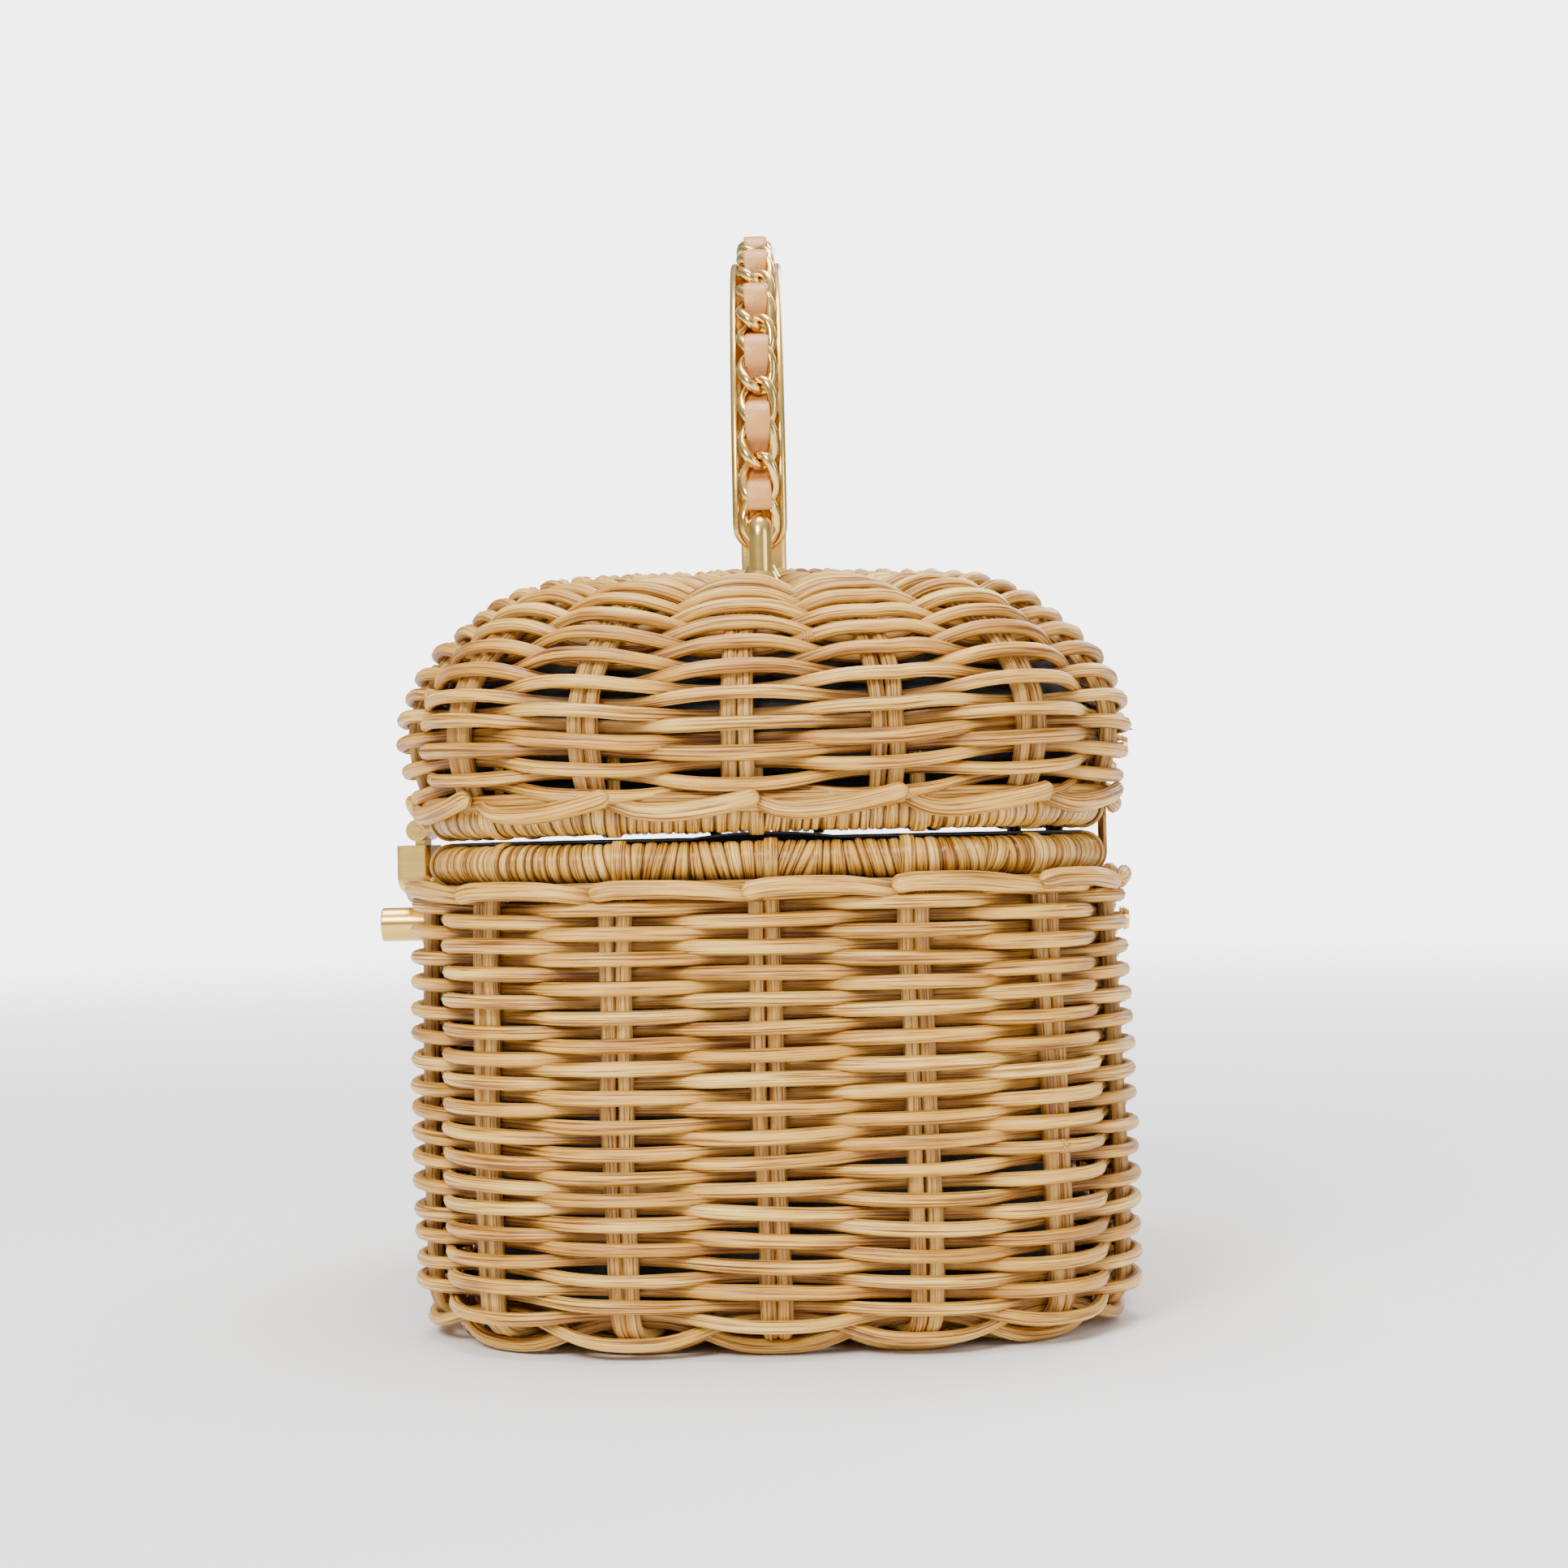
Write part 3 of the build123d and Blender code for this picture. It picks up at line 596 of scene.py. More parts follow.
def reed_material(name, shadow, middle, light, roughness, grain_along, grain_round, bump):
    """Reed or cane: fine grain lines run along each strand, tones change from strand to
    strand, and blotches and darker nodes come and go along the length."""
    material, nodes, links, shader = new_material(name)
    attribute = nodes.new("ShaderNodeAttribute")
    attribute.attribute_name = "reed"
    split = nodes.new("ShaderNodeSeparateXYZ")
    links.new(attribute.outputs["Vector"], split.inputs[0])
    along, around, tone = split.outputs

    def stretched(along_scale, round_scale, tone_scale):
        """The strand's own coordinates, each times its scale."""
        joined = nodes.new("ShaderNodeCombineXYZ")
        links.new(math_node(nodes, links, "MULTIPLY", along, along_scale), joined.inputs[0])
        links.new(math_node(nodes, links, "MULTIPLY", around, round_scale), joined.inputs[1])
        links.new(math_node(nodes, links, "MULTIPLY", tone, tone_scale), joined.inputs[2])
        return joined.outputs[0]

    fine = noise(nodes, links, stretched(grain_along, grain_round, 41.0), 1.0, 3.0, 0.6)
    broad = noise(nodes, links, stretched(grain_along * 0.8, grain_round * 0.28, 23.0), 1.0, 2.0)
    blotch = noise(nodes, links, stretched(0.055, 0.12, 57.0), 1.0, 3.0)
    colours = ramp(nodes, [(0.3, shadow), (0.5, middle), (0.7, light)])
    mixed = math_node(nodes, links, "MULTIPLY_ADD", fine, 0.55, 0.0)
    mixed = math_node(nodes, links, "MULTIPLY_ADD", broad, 0.45, mixed)
    spread = math_node(nodes, links, "MULTIPLY_ADD", tone, 0.16, -0.08)
    mixed = math_node(nodes, links, "ADD", mixed, spread)
    blotched = math_node(nodes, links, "MULTIPLY_ADD", blotch, 0.4, -0.2)
    mixed = math_node(nodes, links, "ADD", mixed, blotched)
    links.new(mixed, colours.inputs[0])
    warm = tuple(value * tint for value, tint in zip(middle, (1.0, 0.86, 0.6)))
    patch = ramp(nodes, [(0.56, (0, 0, 0)), (0.72, (0.6, 0.6, 0.6))])
    links.new(blotch, patch.inputs[0])
    colour = mix_colour(nodes, links, patch.outputs[0], colours.outputs[0], warm)
    lines = ramp(nodes, [(0.38, (0.34, 0.22, 0.13)), (0.485, (1, 1, 1))])
    links.new(fine, lines.inputs[0])
    colour = mix_colour(nodes, links, 0.85, colour, lines.outputs[0], "MULTIPLY")
    hair = noise(nodes, links, stretched(grain_along * 0.6, grain_round * 1.8, 91.0), 1.0, 2.0)
    hairlines = ramp(nodes, [(0.35, (0.30, 0.17, 0.09)), (0.43, (1, 1, 1))])
    links.new(hair, hairlines.inputs[0])
    colour = mix_colour(nodes, links, 0.8, colour, hairlines.outputs[0], "MULTIPLY")
    # painted shade: the shade attribute darkens the colour through this ramp, in grooves, seams and
    # where reeds pass behind others
    painted_shade = nodes.new("ShaderNodeAttribute")
    painted_shade.attribute_name = "shade"
    shaded = ramp(nodes, [(0.25, (0.30, 0.17, 0.08)), (0.9, (1, 1, 1))])
    links.new(painted_shade.outputs["Fac"], shaded.inputs[0])
    colour = mix_colour(nodes, links, 1.0, colour, shaded.outputs[0], "MULTIPLY")
    links.new(colour, shader.inputs["Base Color"])
    rough = math_node(nodes, links, "MULTIPLY_ADD", fine, 0.3, roughness - 0.15)
    links.new(rough, shader.inputs["Roughness"])
    shader.inputs["Specular IOR Level"].default_value = 0.45
    height = math_node(nodes, links, "MULTIPLY_ADD", broad, 0.6, fine)
    bump_node = nodes.new("ShaderNodeBump")
    bump_node.inputs["Strength"].default_value = bump
    bump_node.inputs["Distance"].default_value = 0.0004
    links.new(height, bump_node.inputs["Height"])
    links.new(bump_node.outputs[0], shader.inputs["Normal"])
    return material


def object_noise(nodes, links, scale, stretch=(1, 1, 1), detail=3.0):
    """Noise on Object coordinates, stretched by a Mapping node."""
    place = nodes.new("ShaderNodeTexCoord")
    mapping = nodes.new("ShaderNodeMapping")
    mapping.inputs["Scale"].default_value = stretch
    links.new(place.outputs["Object"], mapping.inputs["Vector"])
    return noise(nodes, links, mapping.outputs[0], scale, detail)


def gold_material(name, colour, roughness, stretch):
    """Satin gold plate: a metal with fine brushing along one direction and soft cloudiness."""
    material, nodes, links, shader = new_material(name)
    brushed = object_noise(nodes, links, 900, stretch, 2.0)
    cloud = object_noise(nodes, links, 60)
    shader.inputs["Metallic"].default_value = 1.0
    dark = tuple(value * 0.86 for value in colour)
    links.new(mix_colour(nodes, links, cloud, dark, colour), shader.inputs["Base Color"])
    rough = math_node(nodes, links, "MULTIPLY_ADD", brushed, 0.16, roughness - 0.08)
    links.new(rough, shader.inputs["Roughness"])
    bump_node = nodes.new("ShaderNodeBump")
    bump_node.inputs["Strength"].default_value = 0.12
    bump_node.inputs["Distance"].default_value = 0.0001
    links.new(brushed, bump_node.inputs["Height"])
    links.new(bump_node.outputs[0], shader.inputs["Normal"])
    return material


def leather_material(name, dark, light, roughness, scale, bump):
    """Leather: pebbled grain from cells, and soft changes of tone."""
    material, nodes, links, shader = new_material(name)
    place = nodes.new("ShaderNodeTexCoord")
    cells = nodes.new("ShaderNodeTexVoronoi")
    cells.inputs["Scale"].default_value = scale
    links.new(place.outputs["Object"], cells.inputs["Vector"])
    soft = object_noise(nodes, links, 220)
    colour = mix_colour(nodes, links, soft, dark, light)
    # painted shade: the shade attribute darkens the colour through this ramp, where the strip dips
    # under the chain
    painted_shade = nodes.new("ShaderNodeAttribute")
    painted_shade.attribute_name = "shade"
    shaded = ramp(nodes, [(0.2, (0.45, 0.30, 0.20)), (0.9, (1, 1, 1))])
    links.new(painted_shade.outputs["Fac"], shaded.inputs[0])
    colour = mix_colour(nodes, links, 1.0, colour, shaded.outputs[0], "MULTIPLY")
    links.new(colour, shader.inputs["Base Color"])
    shader.inputs["Roughness"].default_value = roughness
    shader.inputs["Specular IOR Level"].default_value = 0.4
    bump_node = nodes.new("ShaderNodeBump")
    bump_node.inputs["Strength"].default_value = bump
    bump_node.inputs["Distance"].default_value = 0.0002
    links.new(cells.outputs["Distance"], bump_node.inputs["Height"])
    links.new(bump_node.outputs[0], shader.inputs["Normal"])
    return material


def cloth_material(name, dark, light):
    """Black lining cloth: threads that cross, as two noises drawn out along and up, with
    a faint sheen and soft, broad creases."""
    material, nodes, links, shader = new_material(name)
    along = object_noise(nodes, links, 2600, (0.12, 0.12, 1), 2.0)
    upward = object_noise(nodes, links, 2600, (1, 1, 0.12), 2.0)
    broad = object_noise(nodes, links, 45, (1, 1, 0.5), 2.0)
    woven = math_node(nodes, links, "MAXIMUM", along, upward)
    links.new(mix_colour(nodes, links, woven, dark, light), shader.inputs["Base Color"])
    shader.inputs["Roughness"].default_value = 0.82
    shader.inputs["Sheen Weight"].default_value = 0.2
    shader.inputs["Sheen Roughness"].default_value = 0.4
    height = math_node(nodes, links, "MULTIPLY_ADD", broad, 5.0, woven)
    bump_node = nodes.new("ShaderNodeBump")
    bump_node.inputs["Strength"].default_value = 0.45
    bump_node.inputs["Distance"].default_value = 0.0003
    links.new(height, bump_node.inputs["Height"])
    links.new(bump_node.outputs[0], shader.inputs["Normal"])
    return material


# shadow, middle and light colours, roughness, grain along and round, and bump
rattan = reed_material(
    "rattan_reed", (0.42, 0.17, 0.018), (0.74, 0.39, 0.062), (1.0, 0.68, 0.18), 0.34, 0.045, 2.1, 1.0
)
stake_reed = reed_material(
    "stake_reed", (0.42, 0.18, 0.025), (0.71, 0.40, 0.08), (0.92, 0.63, 0.20), 0.5, 0.045, 2.1, 1.0
)
cane = reed_material(
    "split_cane", (0.38, 0.155, 0.015), (0.73, 0.40, 0.068), (1.0, 0.69, 0.19), 0.27, 0.08, 2.3, 0.8
)
gold = gold_material("satin_gold", (0.90, 0.60, 0.17), 0.25, (0.15, 0.15, 1))
gold_chain = gold_material("chain_gold", (0.92, 0.62, 0.19), 0.16, (1, 1, 1))
gold_turned = gold_material("turned_gold", (0.90, 0.58, 0.15), 0.24, (1, 0.05, 1))
tan_leather = leather_material(
    "tan_leather", (0.56, 0.235, 0.055), (0.71, 0.34, 0.10), 0.33, 1900, 0.3
)
black_leather = leather_material(
    "black_leather", (0.012, 0.010, 0.009), (0.03, 0.026, 0.024), 0.42, 1300, 0.5
)
lining_cloth = cloth_material("lining_cloth", (0.006, 0.006, 0.007), (0.018, 0.018, 0.02))

# ---- basket ----

basket_weave = make_piece(
    "basket_weave",
    [woven_rows(basket_surface, BASKET_START, ROW_PITCH, BASKET_ROWS, 11, True, BASKET_TURN)],
    rattan,
)
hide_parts("basket_wall")
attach(basket_weave, "basket")

base_run = wall_run + turn_run + middle_y - TURN_RADIUS
base_start = BASKET_START + BASKET_ROWS * ROW_PITCH
base_turns = math.floor((base_run - SLATH_GAP - base_start) / ROW_PITCH * 10) / 10
base_weave = make_piece(
    "base_weave",
    [
        woven_rows(
            basket_surface,
            base_start,
            ROW_PITCH,
            base_turns,
            12,
            True,
            BASKET_TURN + 0.9,
            steps=10,
            sides=7,
            swing=2.5,
        )
    ]
    + slath(lambda x: np.full_like(x, base_z), 13),
    rattan,
)
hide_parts("basket_base")
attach(base_weave, "basket")

basket_stakes = make_piece(
    "basket_stakes",
    [stake_pairs(basket_surface, 0.0, base_run - 5, 14, True, BASKET_TURN, 72)],
    stake_reed,
)
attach(basket_stakes, "basket")

basket_border = make_piece(
    "basket_border",
    border_arcs(basket_surface, 0.0, 15, True, BASKET_TURN, 1, -1.0)
    + [packing_reed(basket_rim_low[2] - 1.5, 18)],
    rattan,
)
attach(basket_border, "basket")

basket_rim = make_piece(
    "basket_rim_cane", [wrapped_rim(basket_rim_z, 16)] + rim_ties(basket_rim_z, 17, 1), cane
)
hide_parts("basket_rim")
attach(basket_rim, "basket")

# ---- lid ----

lid_mean_run = float(np.mean(sum(lid_length_up(np.linspace(0, 1, 200, False)))))
lid_mean_run += dome_middle * (math.pi / 2 - 1)
lid_pitch = ROW_PITCH / lid_mean_run
lid_weave = make_piece(
    "lid_weave",
    [woven_rows(lid_surface, LID_START, lid_pitch, LID_ROWS, 21, False, LID_TURN)],
    rattan,
)
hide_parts("lid_shell")
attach(lid_weave, "lid")

lid_stakes = make_piece(
    "lid_stakes",
    [stake_pairs(lid_surface, 0.0, 0.95, 22, False, LID_TURN)] + slath(crown, 23),
    stake_reed,
)
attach(lid_stakes, "lid")

lid_border = make_piece(
    "lid_border",
    border_arcs(lid_surface, 0.02, 24, False, LID_TURN, -1, 1 / lid_mean_run)
    + [packing_reed(lid_rim_high[2] - 0.9, 27)],
    rattan,
)
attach(lid_border, "lid")

lid_rim = make_piece(
    "lid_rim_cane", [wrapped_rim(lid_rim_z, 25)] + rim_ties(lid_rim_z, 26, -1), cane
)
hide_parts("lid_rim")
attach(lid_rim, "lid")

# ---- linings ----


def thicken(points, thickness):
    """Closed sheet from a grid of points (rows x ring): a second grid lies thickness
    inside the first, and the two are joined at both open edges or closed at the middle."""
    rows, ring, _ = points.shape
    along = np.roll(points, -1, 1) - np.roll(points, 1, 1)
    down = np.gradient(points, axis=0)
    normal = unit(np.cross(along, down))
    inner = points + normal * thickness
    grid = np.concatenate([points, inner[::-1]])
    quads = grid_quads(1, 2 * rows, ring, True)[:, ::-1]
    return {"points": grid.reshape(-1, 3), "quads": quads}


lining_grow = basket_rim_high[1] - 2 * rim_radius - 0.55 - middle_y
lining_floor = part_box("basket_lining")[0][2] / MM + 0.9
hem_z = basket_rim_high[2] + 0.28


def basket_lining_points():
    """Lining of the basket: a flat hem over the rim, an upright wall with soft vertical
    folds, a rounded turn and a floor that closes towards the centre line. At the +X end
    the hem stands up in a low hump that fills the gap under the lid."""
    ring, hem_rows, wall_rows, floor_rows = 336, 7, 26, 18
    u = np.arange(ring) / ring
    hem = np.linspace(0, 1, hem_rows)
    wall = np.linspace(0, 1, wall_rows)
    floor = np.linspace(0, 1, floor_rows)
    wall_top, turn_inset, fold_knots = hem_z - 0.4, 3.0, 46
    hem_grow = lining_grow + (rim_radius + 1.0) * (1 - hem)
    grow = np.concatenate([hem_grow, np.full(wall_rows + floor_rows, lining_grow)])
    wall_inset = turn_inset * np.clip((wall - 0.93) / 0.07, 0, 1) ** 2
    inset = np.concatenate([np.zeros(hem_rows), wall_inset, turn_inset + floor * 50.5])
    z = np.concatenate([
        np.full(hem_rows, hem_z),
        wall_top - wall * (wall_top - lining_floor),
        np.full(floor_rows, lining_floor),
    ])
    part = np.mod(u + 0.5, 1)
    fold = wander(np.random.default_rng(31), fold_knots, part * fold_knots) * 0.55
    fold = fold * np.clip(12 * np.abs(part - 0.5) ** 0.5, 0, 1)
    fold = fold * np.clip(np.minimum(part, 1 - part) * 25, 0, 1)
    depth = np.clip((hem_z - z) / 30, 0, 1) * np.clip((z - lining_floor) / 12, 0, 1)
    inset = inset[:, None] + 0.5 + depth[:, None] * (fold[None] + 0.7)
    x, y = draw_in(u[None], grow[:, None], inset)
    distance = (part - 0.5) * PERIMETER + 0.5
    hump = np.clip(1 - (np.abs(distance) / 14) ** 2.2, 0, 1)
    z = z[:, None] + np.where(z[:, None] > hem_z - 2, hump[None], 0)
    return np.stack([x, y, np.broadcast_to(z, x.shape)], -1)


basket_lining = make_piece(
    "basket_lining_cloth", [thicken(basket_lining_points(), BASKET_CLOTH)], lining_cloth
)
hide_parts("basket_lining")
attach(basket_lining, "basket")

def lid_lining_points():
    """Lining of the lid: the weave's own surface, moved inside it, from its lower edge to
    the centre line, where its two sides meet, and straight down from that edge to a seam
    on the rim."""
    ring, rows = 252, 40
    u = np.arange(ring)[None] / ring + np.zeros((rows, 1))
    share = np.linspace(LID_START, 1.0, rows)[:, None] + np.zeros((1, ring))
    points, normals = with_normal(lid_surface, u, np.minimum(share, 0.985), False)
    tuck = 4.8 * np.clip(1 - (share - LID_START) / 0.045, 0, 1)
    points = lid_surface(u, share) - normals * (4.45 + tuck)[..., None]
    x, y, _, _ = outline(u[0], half_depth - rim_inset - middle_y)
    seam = np.stack([x, y, np.full_like(x, lid_rim_z + 0.7 * rim_radius)], -1)
    down = np.array([0.0, 0.35, 0.7])[:, None, None]
    points = np.concatenate([seam + (points[0] - seam) * down, points])
    return points[::-1]


lid_lining = make_piece("lid_lining_cloth", [thicken(lid_lining_points(), LID_CLOTH)], lining_cloth)
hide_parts("lid_lining")
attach(lid_lining, "lid")

# ---- hinges ----


def hinge_cane(x_middle):
    """Cane hinge: flat strands side by side, each a closed slot-shaped loop round both rims."""
    reach = (lid_rim_z - basket_rim_z) / 2
    radius = rim_radius + 0.75
    half = np.radians(np.linspace(0, 180, 17))
    upright = np.linspace(0, 1, 5)[1:-1]
    y = np.concatenate([radius * np.cos(half), np.full(3, -radius)])
    y = np.concatenate([y, -y])
    z = np.concatenate([reach + radius * np.sin(half), reach - 2 * reach * upright])
    z = np.concatenate([z, -z])
    ny = np.concatenate([np.cos(half), np.full(3, -1.0)])
    nz = np.concatenate([np.sin(half), np.zeros(3)])
    count = len(y)
    normal = np.stack([np.zeros(count), np.concatenate([ny, -ny]), np.concatenate([nz, -nz])], -1)
    rng = np.random.default_rng(int(x_middle) + 200)
    parts = []
    for number in range(5):
        x = x_middle + (number - 2) * 1.95 + rng.normal(0, 0.1)
        points = np.stack([np.full(count, x), half_depth - rim_inset + y, gap_z + z], -1)
        parts.append(tubes(points, normal, 0.45, 0.95, 8, rng.uniform(0.3, 1), True, 0.7))
    return parts


def strap_leather(name):
    """Leather strap: the bent strip of its CAD node, with rounded edges and thickness."""
    low, high = node_box(name)
    count = 40
    lid_y, basket_y = high[1] - STRAP_HALF, low[1] + STRAP_HALF
    z = np.array([high[2], lid_rim_z + 8, lid_rim_z + 2, low[2]])
    y = np.array([lid_y, lid_y, basket_y, basket_y])
    at = np.linspace(0, 1, count)
    height = high[2] + (low[2] - high[2]) * at
    across = np.interp(-height, -z, y)
    across = np.convolve(np.pad(across, 3, "edge"), np.ones(7) / 7, "valid")
    points = np.stack([np.full(count, (low[0] + high[0]) / 2), across, height], -1)
    normals = np.tile([0.0, 1.0, 0.0], (count, 1))
    width = (high[0] - low[0]) / 2
    return tubes(points, normals, STRAP_HALF, width, 20, 0.5, square=0.35)


for side in ("left", "right"):
    node = "hinge_binding_" + side
    low, high = node_box(node)
    binding = make_piece("hinge_cane_" + side, hinge_cane((low[0] + high[0]) / 2), cane)
    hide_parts(node)
    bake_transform(binding)
    node = "hinge_strap_" + side
    strap = make_piece("hinge_leather_" + side, [strap_leather(node)], black_leather)
    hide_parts(node)
    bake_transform(strap)

# ---- handle: bar, chain and leather ----


def handle_bar_piece():
    """Bar swept round half a circle: a flat section with a shallow channel on its outer
    face and rounded edges. Past the pivots it goes straight down, and its width follows
    a circle, so that each end is round."""
    half_wide = bar_width / 2
    section = np.array([
        (-1.0, -0.55), (-0.93, -0.9), (-0.75, -1.0), (0.75, -1.0), (0.93, -0.9), (1.0, -0.55),
        (1.0, 0.5), (0.95, 0.86), (0.84, 1.0), (0.74, 0.93), (0.66, 0.55), (0.5, 0.4),
        (-0.5, 0.4), (-0.66, 0.55), (-0.74, 0.93), (-0.84, 1.0), (-0.95, 0.86), (-1.0, 0.5),
    ])
    end_rows, arc_rows = 9, 97
    centre = bar_outer - BAR_HALF
    below = half_wide * np.sin(np.radians(np.linspace(90, 8, end_rows)))
    turn = np.radians(np.linspace(0, 180, arc_rows))
    x = np.concatenate([np.full(end_rows, centre), centre * np.cos(turn), np.full(end_rows, -centre)])
    z = np.concatenate([-below, centre * np.sin(turn), -below[::-1]])
    out_x = np.concatenate([np.ones(end_rows), np.cos(turn), -np.ones(end_rows)])
    out_z = np.concatenate([np.zeros(end_rows), np.sin(turn), np.zeros(end_rows)])
    narrow = np.sqrt(np.clip(1 - (below / half_wide) ** 2, 0.0015, 1))
    wide = np.concatenate([narrow, np.ones(arc_rows), narrow[::-1]])
    thin = np.clip(narrow * 1.6, 0.3, 1)
    round_down = np.concatenate([thin, np.ones(arc_rows), thin[::-1]])
    points = np.empty((len(x), len(section), 3))
    rise = section[:, 1] * BAR_HALF
    points[..., 0] = x[:, None] + out_x[:, None] * rise * round_down[:, None]
    points[..., 1] = wide[:, None] * section[:, 0] * half_wide
    points[..., 2] = pivot_z + z[:, None] + out_z[:, None] * rise * round_down[:, None]
    sides = len(section)
    ends = [np.arange(sides), (len(x) - 1) * sides + np.arange(sides)[::-1]]
    return {
        "points": points.reshape(-1, 3),
        "quads": grid_quads(1, len(x), sides, False)[:, ::-1],
        "caps": ends,
    }


chain_radius = bar_outer + CHAIN_STAND
link_angle = math.pi / LINKS
link_pitch = chain_radius * link_angle


def chain_links():
    """Curb chain: each link is an oval ring whose ends are twisted opposite ways, so that
    neighbours cross and the chain lies flat along the bar."""
    count = 30
    a = np.arange(count) * 2 * math.pi / count
    half_run = (link_pitch + 2 * WIRE) / 2
    half_wide = CHAIN_HALF_WIDTH - WIRE
    local_x = half_run * np.sign(np.cos(a)) * np.abs(np.cos(a)) ** 0.85
    local_y = half_wide * np.sign(np.sin(a)) * np.abs(np.sin(a)) ** 0.85
    twist = np.radians(46) * local_x / half_run
    side = local_y * np.cos(twist)
    lift = local_y * np.sin(twist)
    number = np.arange(LINKS + 1)
    angle = number * link_angle
    angle[0] += 0.006
    angle[-1] -= 0.006
    at = angle[:, None] + local_x / chain_radius
    radius = chain_radius + lift
    flat_end = np.where((at < 0.0) | (at > math.pi), chain_radius - 0.4, radius)
    drop = np.where(at < 0, at, np.where(at > math.pi, math.pi - at, 0)) * chain_radius
    at = np.clip(at, 0, math.pi)
    points = np.stack([
        flat_end * np.cos(at),
        np.broadcast_to(side, at.shape),
        pivot_z + flat_end * np.sin(at) + drop,
    ], -1)
    outward = unit(np.stack([np.cos(angle), 0 * angle, np.sin(angle)], -1))[:, None]
    normals = unit(np.cross(np.roll(points, -1, 1) - np.roll(points, 1, 1), outward))
    return tubes(points, normals, WIRE, WIRE, 10, 0.5, closed=True)


def leather_strip():
    """Leather strip woven through the chain: its height over the bar is a cosine that
    crests over every other crossing and dips under the one between."""
    count = 400
    angle = np.linspace(0.035, math.pi - 0.035, count)
    crossing = angle / link_angle - 0.5
    wave = np.cos(math.pi * crossing)
    wave = np.sign(wave) * np.abs(wave) ** 0.8
    radius = chain_radius + 0.25 + 2.35 * wave
    points = np.stack([radius * np.cos(angle), 0 * angle, pivot_z + radius * np.sin(angle)], -1)
    tangents = unit(np.gradient(points, axis=0))
    normals = np.cross(tangents, np.array([0.0, 1.0, 0.0]))
    width = 2.15 + 0.35 * wave
    # painted shade: the strip is darker where it dips under the chain and keeps its full colour on
    # the crests
    shade = 0.45 + 0.55 * np.clip(wave * 1.5, 0, 1)
    return tubes(points, -normals, 0.55, width, 14, 0.5, square=0.5, shade=shade)


handle_bar = make_piece("handle_bar_gold", [handle_bar_piece()], gold)
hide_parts("handle_bar")
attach(handle_bar, "handle")
handle_chain = make_piece("handle_curb_chain", [chain_links()], gold_chain)
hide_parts("handle_chain")
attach(handle_chain, "handle")
handle_leather = make_piece("handle_leather_strip", [leather_strip()], tan_leather)
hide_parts("handle_leather")
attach(handle_leather, "handle")

# ---- finishes of the CAD pieces that show as they are ----

finishes = {
    "handle_loop_left": gold,
    "handle_loop_right": gold,
    "loop_feet": gold_turned,
    "loop_washers": gold,
    "loop_nuts": gold,
    "lock_plate": gold,
    "lock_plate_rivets": gold_chain,
    "lock_backing": gold,
    "lock_knob": gold_turned,
    "lock_knob_nut": gold,
    "hasp_bracket": gold,
    "hasp_bracket_rivets": gold_chain,
    "hasp_pin": gold_turned,
    "hasp_leaf": gold,
    "hinge_rivets_lid": gold_chain,
    "hinge_rivets_basket": gold_chain,
}
for node, material in finishes.items():
    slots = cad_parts[node].data.materials
    slots.clear()
    slots.append(material)

# ---- floor, light and camera ----


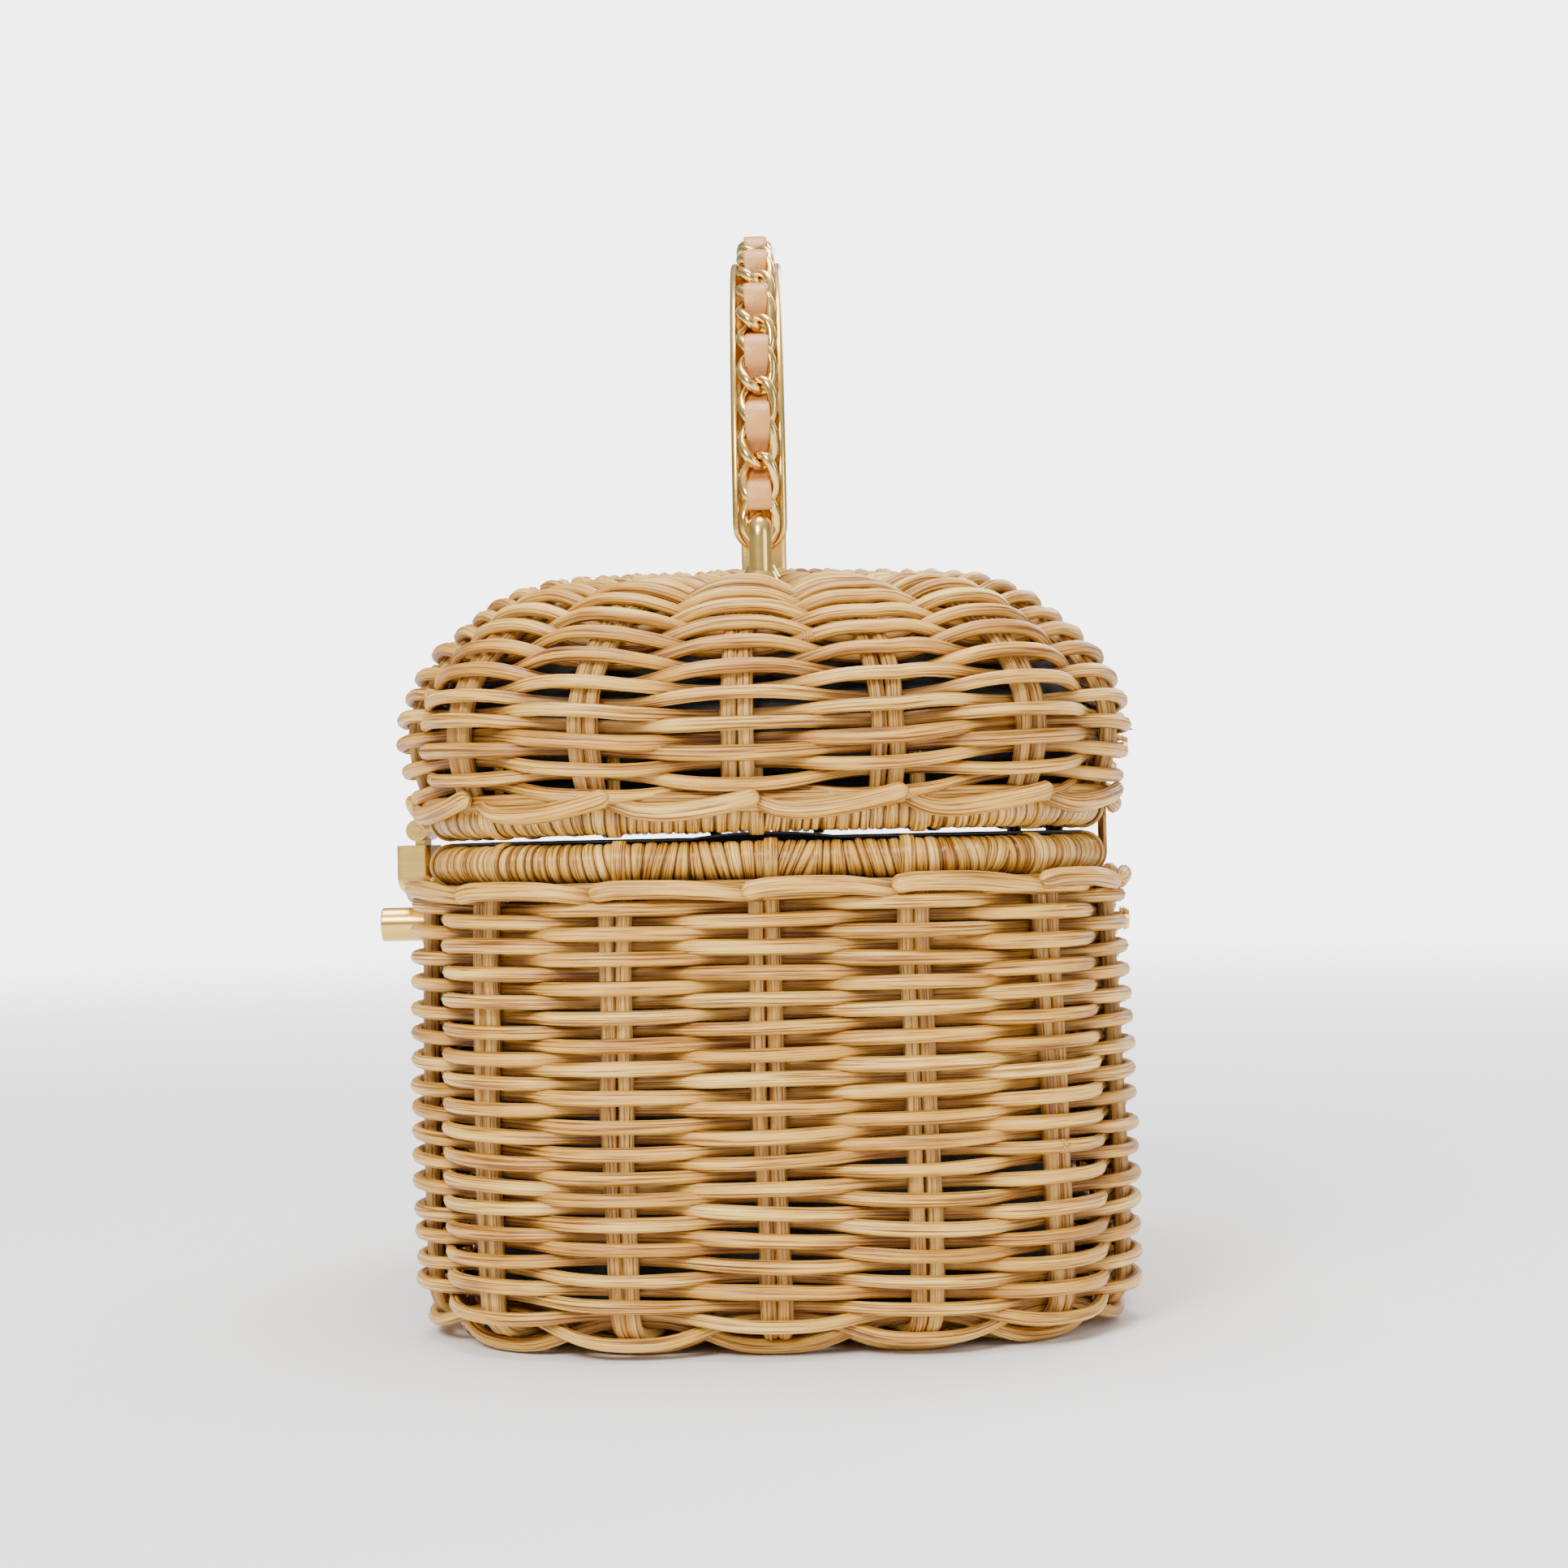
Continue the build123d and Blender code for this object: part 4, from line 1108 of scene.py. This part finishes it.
def studio():
    """Pale floor, broad soft lights and the camera that looks at the bag's end."""
    material, nodes, links, shader = new_material("pale_floor")
    shader.inputs["Base Color"].default_value = (0.93, 0.93, 0.93, 1)
    shader.inputs["Roughness"].default_value = 0.9
    place = nodes.new("ShaderNodeTexCoord")
    length = nodes.new("ShaderNodeVectorMath")
    length.operation = "LENGTH"
    links.new(place.outputs["Object"], length.inputs[0])
    far = ramp(nodes, [(0.0, (0, 0, 0)), (1.0, (1, 1, 1))])
    far.color_ramp.interpolation = "EASE"
    reach = math_node(nodes, links, "MULTIPLY_ADD", length.outputs["Value"], 0.55, -0.14)
    links.new(reach, far.inputs[0])
    sight = nodes.new("ShaderNodeLightPath").outputs["Is Camera Ray"]
    glow = nodes.new("ShaderNodeEmission")
    glow.inputs["Strength"].default_value = BACKDROP
    blend = nodes.new("ShaderNodeMixShader")
    links.new(math_node(nodes, links, "MULTIPLY", far.outputs[0], sight), blend.inputs[0])
    links.new(shader.outputs[0], blend.inputs[1])
    links.new(glow.outputs[0], blend.inputs[2])
    links.new(blend.outputs[0], nodes["Material Output"].inputs["Surface"])
    bpy.ops.mesh.primitive_plane_add(size=14, location=(0, 0, 0))
    floor = bpy.context.object
    floor.name = "pale_floor"
    floor.data.materials.append(material)
    world = bpy.data.worlds.new("studio")
    bpy.context.scene.world = world
    world.use_nodes = True
    nodes, links = world.node_tree.nodes, world.node_tree.links
    background = nodes["Background"]
    direction = nodes.new("ShaderNodeTexCoord")
    split = nodes.new("ShaderNodeSeparateXYZ")
    links.new(direction.outputs["Generated"], split.inputs[0])
    sky = ramp(nodes, [(0.0, (0.5, 0.5, 0.5)), (0.35, (0.28, 0.28, 0.28)), (1.0, (1, 1, 1))])
    links.new(split.outputs[2], sky.inputs[0])
    light = math_node(nodes, links, "MULTIPLY", sky.outputs[0], 1.1)
    sight = nodes.new("ShaderNodeLightPath").outputs["Is Camera Ray"]
    seen = math_node(nodes, links, "MULTIPLY", sight, BACKDROP)
    links.new(math_node(nodes, links, "MAXIMUM", light, seen), background.inputs[1])
    background.inputs[0].default_value = (1.0, 1.0, 1.0, 1)
    # name, place in metres, width in metres, watts
    lights = (
        ("key", (1.3, -0.6, 1.1), 0.6, 34),
        ("fill", (1.0, 1.2, 0.5), 0.8, 8),
        ("top", (-0.1, 0.0, 1.5), 0.9, 26),
        ("back", (-1.3, 0.7, 1.0), 0.8, 14),
    )
    for name, place, size, power in lights:
        data = bpy.data.lights.new(name, "AREA")
        data.size = size
        data.energy = power
        light = bpy.data.objects.new(name, data)
        light.location = place
        aim = Vector((0, 0, 0.1)) - Vector(place)
        light.rotation_euler = aim.to_track_quat("-Z", "Y").to_euler()
        bpy.context.scene.collection.objects.link(light)
    data = bpy.data.cameras.new("camera")
    data.sensor_width = 36
    data.lens = CAMERA_LENS
    camera = bpy.data.objects.new("camera", data)
    camera.location = CAMERA_PLACE
    forward = Euler((math.radians(90 + CAMERA_RISE), 0, math.radians(90))).to_matrix()
    camera.rotation_euler = (forward @ Matrix.Rotation(math.radians(CAMERA_ROLL), 3, "Z")).to_euler()
    bpy.context.scene.collection.objects.link(camera)
    bpy.context.scene.camera = camera


studio()
